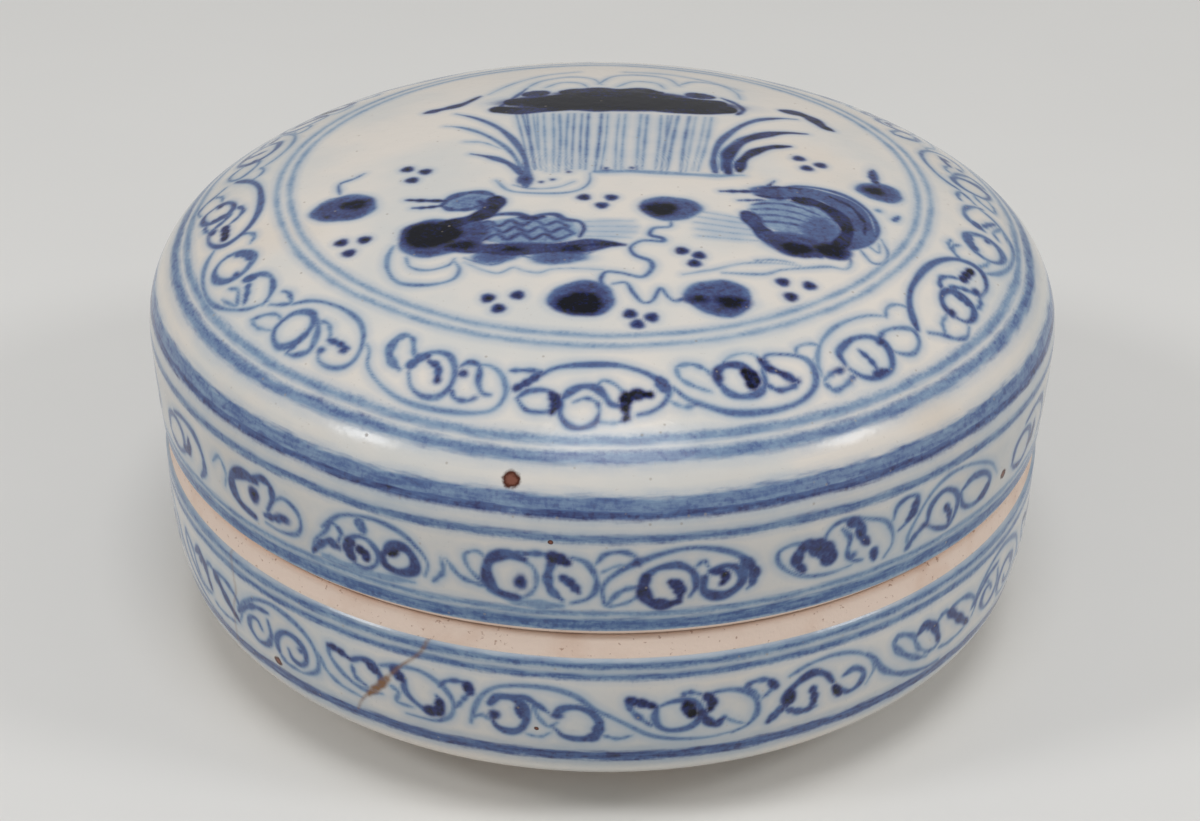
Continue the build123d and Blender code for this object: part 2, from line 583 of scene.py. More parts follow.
@dataclass
class Painter:
    """Lays marks over a piece's points, where its finish reads them.

    Margins, fades, edges and drift are in millimetres. The edge shares say how much is laid
    right at a mark's edge.
    """

    seed: int = 11
    drift: float = 0.25
    ink_share: float = 0.6
    edge_share: float = 0.5
    margin: float = 1.5
    fade: float = 0.9
    patch_fade: float = 2.2
    wash_edge: float = 1.2
    stain_edge: float = 0.4

    def paint(
        self,
        piece: bpy.types.Object,
        spots: np.ndarray,
        sheet: Sheet,
        marks: tuple[Mark, ...],
        copies: tuple[Copy, ...] = (Copy(0.0),),
        once: tuple[Mark, ...] = (),
    ) -> None:
        """Paint a piece.

        Args:
            piece: the piece.
            spots: its points on the sheet.
            sheet: the sheet that the marks are laid out on.
            marks: strokes and patches.
            copies: where the marks are painted, for a band that goes round the box.
            once: marks that aren't copied.
        """
        chance = np.random.default_rng(self.seed)
        edge = np.full(len(spots), self.margin)
        layers = {layer: np.zeros(len(spots)) for layer in Layer}
        for copy in copies:
            for mark in marks + (() if copy.turn else once):
                if not copy.first <= mark.middle() <= copy.last:
                    continue
                drift = np.zeros(2)
                if copy.turn:
                    drift = chance.uniform(-self.drift, self.drift, 2)
                local = sheet.about(spots, mark.middle() + copy.turn) + drift
                low, high = mark.reach(sheet)
                near = ((local > low - self.margin) & (local < high + self.margin)).all(axis=1)
                near = np.flatnonzero(near)
                if not len(near):
                    continue
                gap, load = mark.measure(local[near], sheet)
                layer = layers[mark.layer]
                if mark.layer is Layer.INK:
                    fade = self.patch_fade if isinstance(mark, Patch) else self.fade
                    share = np.clip(self.ink_share - gap / fade, 0, 1)
                    edge[near] = np.minimum(edge[near], gap)
                elif mark.layer is Layer.WASH:
                    share = np.clip(self.edge_share - gap / self.wash_edge, 0, 1)
                else:
                    share = np.clip(self.edge_share - gap / self.stain_edge, 0, 1)
                layer[near] = np.maximum(layer[near], load * share)
        self._keep(piece, "brush_edge", edge)
        for layer, values in layers.items():
            self._keep(piece, f"brush_{layer.value}", values)

    def _keep(self, piece: bpy.types.Object, name: str, values: np.ndarray) -> None:
        """Store numbers at the piece's points."""
        attribute = piece.data.attributes.new(name, "FLOAT", "POINT")
        attribute.data.foreach_set("value", values.astype(np.float32))


# The picture on the lid, in millimetres to the right of its middle and away from the viewer
PICTURE = (
    # Left leaf and its stem
    Patch(-27.4, -8.8, 3.7, 3.0, 0.7),
    Patch(-26.4, -8.3, 2.2, 1.6, 1.0),
    Patch(-29.0, -10.1, 1.2, 0.9, 0.85),
    Stroke("-30.6,-8 -29.6,-6.6 -28,-6", 0.5, 0.7),
    Stroke("-28.2,-5.5 -28.5,-3 -27,-2 -26,-1", 0.6, 0.62),
    # Left duck: bill, head and neck
    Stroke("-16.6,-9.2 -19,-8.8 -20.8,-8.4", 0.9, 0.9),
    Stroke("-17,-10.2 -18.6,-10.4 -20,-10.3", 0.8, 0.85),
    Patch(-14.0, -9.7, 2.7, 2.0, 0.46),
    Stroke("-17,-10.2 -16.2,-8.6 -14.8,-7.7 -13.2,-7.5 -11.8,-8.2 -11.2,-9.6", 1.2, 0.7),
    Stroke("-17,-10.2 -15.8,-11.2 -14,-11.2 -12.8,-10.4", 1.0, 0.72),
    Stroke("-11.3,-9 -11.4,-10.8 -12.6,-12.6 -14.8,-13.9 -17.4,-14.8", 2.2, 0.94, 0.9),
    Stroke("-13,-9.6 -12.4,-10.8 -13.2,-12", 1.1, 0.84),
    # Left duck: breast
    Patch(-17.0, -16.8, 4.3, 3.8, 0.72),
    Patch(-17.6, -16.2, 3.7, 3.0, 1.0),
    Patch(-13.8, -16.0, 2.6, 2.6, 0.74),
    Patch(-14.4, -18.6, 2.6, 1.4, 0.98),
    # Left duck: back and scales
    Patch(-8.0, -16.0, 6.0, 3.0, 0.38),
    Stroke(
        "-12.8,-13.4 -11,-12.6 -9,-12.6 -7.6,-13.3 -6.4,-12.8 -5,-12.8 -4,-13.8 -2.5,-14.3 "
        "-2,-15.7 -2.4,-17.4",
        1.0, 0.72,
    ),
    Stroke("-8.6,-13.2 -7.4,-13.6 -6.2,-13.1", 1.1, 0.88),
    Stroke("-13,-15 -12,-14 -10.8,-15 -9.6,-14 -8.4,-15 -7.2,-14 -6,-15 -4.8,-14.3 -3.6,-15.4", 0.75, 0.78),
    Stroke(
        "-12.6,-16.4 -11.5,-15.3 -10.3,-16.4 -9.1,-15.3 -7.8,-16.4 -6.6,-15.4 -5.4,-16.5 "
        "-4.2,-15.6 -3,-16.8",
        0.75, 0.8,
    ),
    Stroke(
        "-12.2,-17.8 -11,-16.7 -9.8,-17.8 -8.5,-16.7 -7.2,-17.8 -6,-16.8 -4.8,-17.9 -3.4,-17",
        0.75, 0.82,
    ),
    Stroke("-12.8,-14 -13,-16 -12.6,-18", 1.0, 0.76),
    # Left duck: lower body and tail
    Stroke(
        "-15.6,-18.8 -12.5,-19.4 -10,-19.7 -7,-19.7 -4,-19.5 -1.2,-19 0.8,-18.8 2.2,-18.9",
        2.5, 0.84, 0.25,
    ),
    Patch(-9.2, -19.7, 2.6, 1.1, 1.0),
    Patch(-3.2, -19.7, 2.4, 1.2, 1.0),
    Stroke("-3,-19.2 0,-18.9 2,-18.9", 1.1, 0.96, 0.5),
    Patch(-11.0, -20.9, 2.6, 1.5, 0.64),
    Patch(-4.6, -21.2, 3.2, 1.6, 0.6),
    Stroke(
        "-14,-21 -12.5,-22 -11,-22.4 -9.4,-21.6 -8,-21.1 -6.5,-22 -5,-22.6 -3,-21.9 -1.2,-20.4",
        0.6, 0.56,
    ),
    Stroke("-2,-14.3 0.5,-14.1 3,-14", 0.35, 0.34),
    Stroke("-1.8,-15.3 0.8,-15.2 3.4,-15.2", 0.35, 0.36),
    Stroke("-1.8,-16.3 0.8,-16.3 3.2,-16.3", 0.35, 0.34),
    Stroke("-2,-17.3 0.6,-17.3 2.8,-17.5", 0.35, 0.36),
    Patch(0.4, -15.9, 2.9, 2.2, 0.4, layer=Layer.WASH),
    # Left duck: water
    Stroke(
        "-21.5,-17.9 -21.9,-20 -21.6,-22.4 -20.6,-24.3 -19,-25.1 -16.7,-25.3 -14.9,-24.6 "
        "-14.4,-23 -15,-21.5",
        0.8, 0.46,
    ),
    Stroke("-20,-20.2 -19.4,-22 -17.6,-22.8 -15.6,-22.2 -15,-21", 0.6, 0.5),
    Stroke(
        "-14,-21.8 -12.4,-23.1 -10.5,-24 -9,-23.1 -7.9,-23.7 -6.4,-24.1 -5,-23.5 -2.4,-23.4 "
        "0,-23.6",
        0.45, 0.4,
    ),
    # Right duck: bill, head and crest
    Stroke("16.4,-6.1 14.3,-6.4 12.4,-6.6", 0.9, 0.85),
    Stroke("17,-8 15.4,-8.3 14.2,-8.5", 0.7, 0.74),
    Patch(18.0, -6.1, 2.6, 1.8, 0.7),
    Stroke("16.2,-7 18.4,-7.3 20.4,-6.8", 0.9, 0.9),
    Patch(22.6, -13.4, 2.4, 3.2, 0.6),
    Stroke("17,-5.2 19.2,-4.7 21.2,-4.7", 0.9, 0.86),
    Stroke("16.8,-6 17.6,-4.6 18.4,-3.1", 0.7, 0.76, 0.3),
    # Right duck: back, wing and tail crescent
    Stroke("19,-4.9 21.2,-4 24,-4.2 26.4,-5.5 28.1,-8 28.7,-11 28.3,-13.5 27.5,-15", 0.9, 0.66),
    Patch(19.8, -11.0, 4.8, 3.6, 0.34),
    Stroke("19.4,-6 22.6,-5.6 25.2,-7 26.8,-9.6 27,-12.6 25.9,-15 23.6,-17.2", 3.2, 0.66),
    Stroke("20.4,-7.2 22.8,-7.8 24.8,-10 25.4,-13 24.4,-15.8 22.8,-17.6", 2.0, 0.96, 0.9),
    Stroke("24,-5.6 26.2,-7.4 27.4,-10.4 27.2,-13", 0.9, 0.9),
    Stroke("15.6,-9.2 17.6,-8.6 20.2,-8.8 22.6,-10.2", 0.55, 0.74),
    Stroke("15.2,-10.4 17.8,-9.9 20.4,-10.3 22.8,-11.6", 0.55, 0.7),
    Stroke("15.2,-11.6 18,-11.2 20.4,-11.7 22.6,-13", 0.55, 0.72),
    Stroke("16,-12.8 18.4,-12.6 20.4,-13 22.2,-14.2", 0.6, 0.76),
    # Right duck: belly
    Stroke("15,-11.4 16,-14 17.4,-16.4 19.6,-18 22,-18.2", 2.3, 0.8, 0.9),
    Patch(19.6, -16.4, 3.8, 2.2, 0.72),
    Patch(19.8, -17.6, 2.6, 1.7, 1.0),
    Patch(23.4, -17.2, 2.4, 1.8, 1.0),
    # Right duck: breast feathers
    Patch(13.2, -14.6, 3.4, 2.4, 0.4, layer=Layer.WASH),
    Stroke("9.6,-12.6 12.8,-13.2 15.6,-13.6", 0.35, 0.42),
    Stroke("9.4,-13.8 12.8,-14.4 16,-14.8", 0.35, 0.46),
    Stroke("9.6,-15.2 12.8,-15.6 16.2,-15.8", 0.35, 0.42),
    Stroke("9.8,-16.6 13,-16.8 16.4,-16.8", 0.35, 0.4),
    Stroke("9.8,-11.4 12.4,-12 15,-12.6", 0.35, 0.36),
    # Right duck: water
    Stroke("26.5,-16.3 27.5,-18.3 28.7,-18 29.4,-16 28.9,-13.4", 0.6, 0.5),
    Stroke("27.4,-15.2 28.4,-16.2 28.6,-14.4", 0.5, 0.46),
    Stroke("8,-24 11,-22.9 14,-21.4 17,-20.8 20,-20.8", 0.5, 0.4),
    Stroke("12,-23.3 16,-23 18,-21.9 21,-20.9 23,-20.3 24.6,-20.3 25.3,-19 25,-17", 0.6, 0.46),
    Stroke("15.4,-20.6 17.4,-20.2 19.4,-20.4", 0.5, 0.5),
    # Middle leaf and its long stem
    Patch(7.0, -11.0, 3.4, 2.8, 0.66),
    Patch(6.0, -11.2, 2.4, 1.9, 1.0),
    Patch(8.6, -9.8, 1.1, 0.7, 0.85),
    Stroke(
        "7,-14 6.8,-15 5.2,-15.4 4.8,-16.8 6,-17.4 6,-18 4,-18 2.8,-19.3 3.2,-20.8 4.7,-21.8 "
        "4.9,-23.2 3.9,-24.7 1.8,-24.1 0.3,-24 -0.2,-25.3 0,-26.5",
        0.8,
        0.56,
        0.9,
    ),
    # First low leaf
    Patch(-2.0, -28.4, 3.5, 3.0, 0.72),
    Patch(-2.2, -29.2, 2.9, 2.2, 1.06),
    Patch(-0.6, -27.2, 1.1, 0.7, 0.8),
    # Stem between the low leaves
    Stroke(
        "1,-26 2.3,-25.8 3,-27.4 3.9,-28.9 4.9,-28.6 5.7,-26.6 6.4,-27.8 7.1,-28.5 8.1,-28",
        0.7, 0.56, 0.9,
    ),
    # Second low leaf
    Patch(11.5, -27.5, 3.5, 3.1, 0.68),
    Patch(12.6, -28.1, 2.3, 1.5, 1.0),
    Patch(10.0, -26.2, 1.0, 0.8, 0.84),
    Patch(9.6, -28.0, 1.9, 1.1, 0.96),
    # Right leaf and its stem
    Patch(29.8, -2.8, 2.7, 2.4, 0.66),
    Patch(29.2, -2.7, 1.7, 1.4, 1.0),
    Patch(29.5, 1.2, 0.7, 1.8, 0.8),
    Stroke("29.6,-0.6 29.3,1 29.6,2.8", 1.1, 0.8),
    # Dots in threes
    *dots("-27,-16 -24.6,-16 -26,-18.2 -21.3,-1 -19.3,-1.9 -20.6,-3.8 -2.1,-8.9 0.8,-8.9 -0.2,-10.7"),
    *dots("-11.3,-28.1 -8.4,-27.8 -10.2,-29.8 2.7,-30.8 4.8,-31.2 3.4,-32.3 8,-19.7 9.7,-20.4"),
    *dots("9.2,-21.9 18,-24 20.7,-24.1 18.7,-26.3 21.4,3.2 23.7,2 22.1,0.8"),
    Patch(29.2, -7.3, 0.5, 0.5, 0.5),
    Stroke("30.7,-9 31.4,-7.7", 0.9, 0.6),
    # Black bed of the clump, and petals over it
    Patch(1.2, 17.3, 14.4, 3.0, 1.1),
    Patch(1.6, 19.8, 8.6, 2.2, 1.0),
    Stroke(
        "-12.2,15.2 -9.4,14.6 -6.6,15.4 -3.6,16.1 -0.6,15.4 2.4,16 5.4,16.2 8.4,15.6 11.4,15.4 "
        "14,16.4",
        3.0, 1.0, 0.9,
    ),
    Stroke("-10.6,17.6 -7.4,18 -3.6,18.6 0.6,18.4 4.6,18.8 9,18.6 13,18.2", 3.4, 1.0, 0.8),
    Stroke("-9,20.2 -7,20.8", 2.4, 0.95),
    Stroke("-4.6,20.9 -1.8,21.6 1.2,21.4 4.4,21.8 6.4,21.2", 2.4, 0.98),
    Stroke("10,21 12.4,20.6", 2.2, 0.92),
    Stroke("-12.8,14.6 -11.4,17.4 -10,20.4 -9.2,22.6", 0.8, 0.7),
    Stroke("15.2,15 15.9,16.8 15.1,18.9 13.6,20.6", 0.9, 0.8),
    Stroke("-9.4,22.4 -7.6,25.6 -4.4,27.4 -1.6,26.6 -0.4,24", 0.5, 0.44),
    Stroke("-0.8,24.2 1,27.8 4.2,28.8 7.4,27.6 8.8,24.4", 0.5, 0.46),
    Stroke("8.6,24.6 10.6,26.8 13.6,26.2 15.4,23.4 15.8,20.8", 0.5, 0.44),
    Stroke("-7,22.8 -5.2,24.8 -3,24.6 -2,22.8", 0.45, 0.46),
    Stroke("1.4,23.2 3.4,25.6 6,25.2 7,23", 0.45, 0.46),
    Stroke("-13.6,20.8 -10.8,25 -7.2,28.4 -3.2,30", 0.45, 0.4),
    Stroke("2.4,30.2 7.4,29.8 12.4,27.4 15.8,24.4", 0.45, 0.4),
    # Stalks
    *stalks(
        "-9.7,-7.8 -8.5,-7.1 -7.3,-6.5 -5.5,-5.2 -3.8,-3.8 -2.2,-2.3 "
        "0,-0.7 2,1.5 4.5,3.8 6.8,5.8 8,6.4 10,8.5 11.8,9.8",
    ),
    Patch(0.8, 6.0, 9.4, 9.0, 0.16, layer=Layer.WASH),
    # Blades on the left
    Stroke("-8.2,-6.5 -8.3,-3 -8.7,1 -10,5.5 -12,9.5 -14.6,12.6 -17,14.4", 1.1, 0.62, 0.3),
    Stroke("-8.7,-3 -9.6,0.6 -11,4 -13.5,7.6 -16,9.8 -18,10.6", 0.9, 0.5, 0.3),
    Stroke("-8.4,-6 -8.8,-3.4 -10.2,-0.8 -12.2,1 -14.6,2.2", 1.2, 0.68, 0.35),
    Patch(-8.4, -4.6, 1.0, 1.8, 0.84),
    Stroke("-20.5,15.5 -19,16.2 -16.5,17.6 -14.5,20.3", 1.3, 0.9, 0.4),
    Stroke("-15.4,5.6 -13.4,5.2 -11.4,3.4", 0.5, 0.4),
    # Blades on the right
    Stroke("12,-2 11.9,1 12.5,5 13.8,8.4 15.6,11.6 17.6,13.8 20,15 22,15.4", 1.1, 0.66, 0.4),
    Stroke("13.4,-2 13.4,1 14.1,4.2 15.8,7.2 18,9.2 20.4,10.4 22.8,10.8", 1.6, 0.86, 0.3),
    Stroke("14.6,-1.4 15,1.2 16.4,3.8 18.4,5.6 20.6,6.4", 1.5, 0.92, 0.5),
    Stroke("20.5,18 22.5,17.5 24,16 25,14 26,13", 1.7, 0.92, 0.4),
    Stroke("12.8,-1.4 13,3 14.6,6.6 17,9.6", 0.8, 0.66, 0.4),
    Patch(13.6, 1.4, 1.4, 3.2, 0.6, layer=Layer.WASH),
    # Ground and root
    Stroke("-1,-2.7 3,-2.5 8,-2.8 12,-2.9 15,-2.4", 1.1, 0.34),
    Stroke("-11.5,-4.8 -10.3,-7 -8.5,-7.8 -5,-8 -2.8,-7.3 -1.6,-5.5 -1.5,-3", 0.6, 0.46),
    Stroke("-9.6,-6 -7.6,-6.9 -5,-6.6 -3.2,-5.2", 0.45, 0.4),
    *dots("-6.7,-5.3 -5.5,-4.7 -3.8,-2.8 0.2,-1.8 3,-1.6", 0.35),
)

# Vine round the picture: degrees from the front, then millimetres from the axis
TOP_VINE = (
    # Nearest the front
    Stroke("-12.8,39.2 -11,39 -9,38.9 -8,39.2", 0.8, 0.62),
    Patch(-8.9, 39.3, 1.1, 0.35, 0.86),
    Stroke("-8.8,39.4 -10,40.2 -11.4,41", 1.1, 0.74, 0.9),
    Stroke(
        "-8.6,39.4 -6.8,38.5 -4,38 0,37.8 3,38 6,38.8 8,39.8 9,40.8 8.2,42 6.4,42.8 4.6,43.1",
        1.0, 0.55,
    ),
    Stroke("7.9,39.7 8.8,40.9", 1.6, 0.66),
    Stroke("-11,42 -9.8,41.2 -7.6,40.9 -6,41.4 -5.6,42.4 -7,43 -9.4,43 -11,42", 0.85, 0.6),
    Stroke("-6.6,41.2 -5.8,42 -6.2,43", 1.25, 0.86),
    Stroke("-5,41.6 -4,40.8 -2.6,40.3 -0.8,40.4 0.4,41.2 1.2,42 2.6,42.3", 1.1, 0.6),
    Stroke("-5.2,41.8 -5.2,43 -4.2,44 -2.6,44.3 -0.8,43.8 -0.2,42.7", 0.9, 0.64),
    Stroke("-0.2,42.7 -0.6,41.9 -2,41.5 -3.6,41.9", 0.7, 0.56),
    Stroke("-0.6,40.2 0.2,39.6 1.8,40 3,40.8 4,41", 0.65, 0.5),
    Stroke("3,42.5 3.3,41.5 4.6,41.1 6.4,41.2", 1.45, 1.0, 0.7),
    Stroke("3,42.4 3.2,43.2 2.8,43.6", 0.9, 0.9),
    Stroke("-0.6,43.7 1.4,43.8 2.8,43.6", 0.6, 0.44),
    # Right of it
    Stroke(
        "9.6,40.6 11.2,41.8 13.2,42.6 16,43.5 19,43.9 23,44 26.4,43.6 28.8,42.6 29.9,41 29.4,39.8 "
        "27.4,39 24.6,38.5 23.4,38.9",
        0.95, 0.54,
    ),
    Stroke("10.6,38.4 10.8,39.6 12.4,40.6 14.6,41.4", 0.8, 0.44),
    Stroke("10.8,38.3 12.8,38.2 14.4,38.8 15.4,39.6", 0.85, 0.44),
    Stroke("8.6,41.8 10.6,42.6 12.4,42.4", 0.7, 0.4),
    Patch(12.2, 42.4, 0.8, 0.3, 0.76),
    Stroke("16,40.8 15.9,39.8 17,39 19,38.9 20.8,39.6 21.4,40.8", 1.15, 0.7),
    Stroke("16,40.6 16.8,41.7 18.6,42.3 20.8,42.2 22.2,41.4 22.6,40", 1.05, 0.58),
    Patch(16.1, 40.1, 0.9, 0.6, 0.94),
    Stroke("20.1,39.9 20.8,40.6 20.4,41.2", 1.7, 1.0, 0.9),
    Stroke("17.4,38.6 18.6,38 21,37.8 22.8,38.4 22.7,39.6", 0.6, 0.36),
    Stroke("23,38.9 23.4,39.8 24.8,40.6 26,41.4 26.8,41.9", 1.1, 0.85),
    Patch(23.4, 39.3, 0.9, 0.5, 0.9),
    Patch(26.2, 41.7, 1.0, 0.4, 0.98),
    Stroke("22.4,41.6 23.6,42.3 25.6,42.3 26.6,42", 0.85, 0.66),
    Stroke("28.6,39.2 29.4,38.5 31.2,38.4 32.6,38.9 32,39.6 30.6,40.2", 0.65, 0.46),
    Stroke("30.4,42 30.8,40.8 32,39.6 34,38.5 37,37.7 40.6,37.5 44,37.9 46.6,38.8", 0.8, 0.42),
    Stroke(
        "34.6,41.6 34.8,40.4 36.4,39.8 38.6,39.5 41,39.9 42.4,41 42,42.4 40.4,43.6 38,43.8 "
        "36,43.3 34.8,42.2",
        1.05, 0.6,
    ),
    Stroke("38,40.8 38.5,42 38.6,43.2", 0.85, 0.72),
    Stroke("37.6,43.5 39.8,43.5", 1.1, 0.74),
    Patch(33.2, 42.0, 1.0, 0.42, 1.0),
    Patch(34.4, 43.0, 0.6, 0.35, 0.86),
    Patch(42.2, 40.9, 1.0, 0.6, 0.88),
    Stroke("30.2,42.8 31,43.6 33,43.4 34.4,43", 0.85, 0.5),
    Stroke("30.4,42.4 32,42 33.6,41.9", 0.7, 0.5),
    Stroke("42,40.6 44,40.1 46.4,40.4 48.4,41.3 47.6,42.6 45.4,43.2 43.4,42.6 42.4,41.6", 0.85, 0.5),
    Stroke(
        "49.2,41.5 50.3,40.4 52.2,39.1 55.2,38 58.8,37.5 62.4,37.4 66,37.8 69,38.8 70.6,40.1 "
        "71,41.4 70,42.4 67.6,43.1 65,43.1",
        1.1, 0.64,
    ),
    Stroke("46.5,38.9 48,38.2 49.8,38.2 51,38.8 51.3,39.4", 0.7, 0.48),
    Stroke(
        "56.7,42.4 57.1,41.3 58.4,40.5 60.2,40.3 61.7,40.9 62.2,42 61.4,43.2 59.6,43.8 57.8,43.6 "
        "56.7,42.4",
        1.05, 0.66,
    ),
    Patch(57.1, 42.1, 0.9, 0.6, 0.92),
    Stroke("61.1,41.2 61.4,42.2 61.3,43.2", 1.1, 0.7),
    Stroke("60.4,39.8 61.6,39.3 63,39.2 64.4,39.8 65.4,40.7", 0.9, 0.62),
    Stroke("61.8,40.3 63.2,41 64.1,41.9 64.7,42.8", 0.95, 0.6),
    Stroke("61.8,43.5 63.2,43.5 64.8,43", 0.85, 0.56),
    Stroke("65.4,40.9 67.2,40.9 69.2,41.1", 1.25, 0.92, 0.9),
    Patch(65.0, 42.5, 1.0, 0.6, 0.9),
    Stroke("50.4,42.3 52.2,43.2 53.7,44.2 55.5,44.6 57.4,44.1", 0.8, 0.54),
    Stroke("52.9,43.1 54,42.3 56,42", 0.75, 0.5),
    Stroke("71.6,41.6 73,42.1 75,42.4", 0.8, 0.46),
    Stroke("71.6,38.6 73.2,38 75,38.1", 0.8, 0.46),
    # Left of it
    Stroke("-30.6,37.8 -31.3,38.6 -31,40 -29.6,40.9 -28,41.4", 1.25, 0.5),
    Stroke("-30.6,37.7 -29,37.9 -27.8,39 -26.8,40", 0.85, 0.5),
    Stroke(
        "-26.6,40.4 -25.8,39.2 -24,38.6 -22,38.8 -20.6,40 -20.1,41.6 -21,42.9 -23,43.3 -25.2,42.7 "
        "-26.6,41.4",
        0.95, 0.52,
    ),
    Stroke("-27,40.8 -26.2,39.7 -25,39.2", 1.3, 0.62),
    Stroke("-24.6,39.8 -23,40.2 -22.2,41.5", 1.0, 0.7, 0.9),
    Patch(-22.2, 41.5, 0.6, 0.4, 0.92),
    Stroke("-20,39.6 -19,39 -17.6,39.1 -17,39.8 -16.6,41 -15.6,41.9 -14.6,42", 0.9, 0.58),
    Patch(-19.2, 40.3, 0.9, 0.5, 0.88),
    Stroke(
        "-18.6,39.2 -16,39 -14,39.7 -12.8,41 -12.7,42.2 -13.8,43.4 -17,44 -22,44.2 -26,44 "
        "-29.6,43.2 -32.6,42 -33.8,40.6 -35,40",
        0.8, 0.42,
    ),
    Stroke("-20,42 -19,42.8 -17.4,42.9 -16.3,42.5", 0.75, 0.6),
    Patch(-16.4, 42.5, 0.5, 0.28, 0.84),
    Stroke(
        "-51.3,39.8 -49.8,38.8 -47.4,38 -43.5,37.6 -39.6,37.9 -37,38.9 -35.4,40.4 -35,42 -36,43 "
        "-37.9,43.4 -39.8,43.2 -40.8,42.4",
        0.85, 0.5,
    ),
    Stroke(
        "-50,41.7 -49.6,40.6 -48.3,39.8 -46.6,39.6 -45.2,40.4 -44.7,41.7 -45.3,43 -46.8,43.8 "
        "-48.6,43.5 -49.8,42.7 -50,41.7",
        1.1, 0.56,
    ),
    Stroke("-45.1,41.7 -44.9,42.8 -45,43.9", 0.95, 0.54),
    Stroke("-46.2,39.7 -44.2,40.3 -42.8,41.5 -42.2,42.8 -43.5,43.7 -45,44", 1.0, 0.5),
    Stroke("-44.6,39.8 -43,39.7 -41.6,40.3 -40.6,41.1", 0.75, 0.46),
    Stroke("-40.8,41.1 -39,41 -37,41.1", 0.95, 0.72),
    Patch(-37.5, 41.4, 0.8, 0.5, 0.92),
    Patch(-40.6, 42.3, 0.8, 0.5, 0.72),
    Stroke("-55.2,39.4 -53.8,39.2 -51.8,39.8 -53.1,40.6 -54.6,41.2", 0.8, 0.54),
    Stroke("-54.7,43.3 -53.2,42 -51.6,41.5 -50.2,41.7", 0.75, 0.46),
    Stroke("-54.7,43.3 -52.6,43.5 -50.2,43", 0.7, 0.42),
    Stroke(
        "-75.6,42.5 -73.4,43.6 -70.5,44.4 -67.4,44.8 -64.4,44.9 -62,44.6 -59.8,44 -57.8,43.2 "
        "-56.4,42.3 -55.4,41",
        0.85, 0.46,
    ),
    Stroke(
        "-71.6,41.5 -71,40.3 -69.4,39.4 -67.4,39.3 -65.8,40.2 -65.1,41.4 -65.9,42.7 -67.8,43.4 "
        "-69.9,43.2 -71.2,42.4 -71.6,41.5",
        1.15, 0.54,
    ),
    Stroke("-70.8,40.5 -69.2,39.7 -67.2,39.7", 1.4, 0.64),
    Patch(-65.8, 41.6, 0.8, 0.5, 0.8),
    Stroke("-63.4,41.3 -62.8,40.1 -61.4,39.4 -59.6,39.2 -57.6,39.7 -56.2,40.6 -55.6,41.6", 1.0, 0.54),
    Stroke("-63.2,41.1 -62.4,40.3", 1.5, 0.64),
    Stroke("-61.8,41.2 -60,41.9 -58.5,42.7", 0.95, 0.62),
    Stroke("-63.8,42.8 -62.2,42.3 -60.5,42.8 -59.4,43.3 -61.2,43.7 -62.8,43.9", 0.75, 0.48),
    Stroke("-76,39.6 -74.8,38.6 -73.2,38.4 -71.8,39", 0.85, 0.48),
)

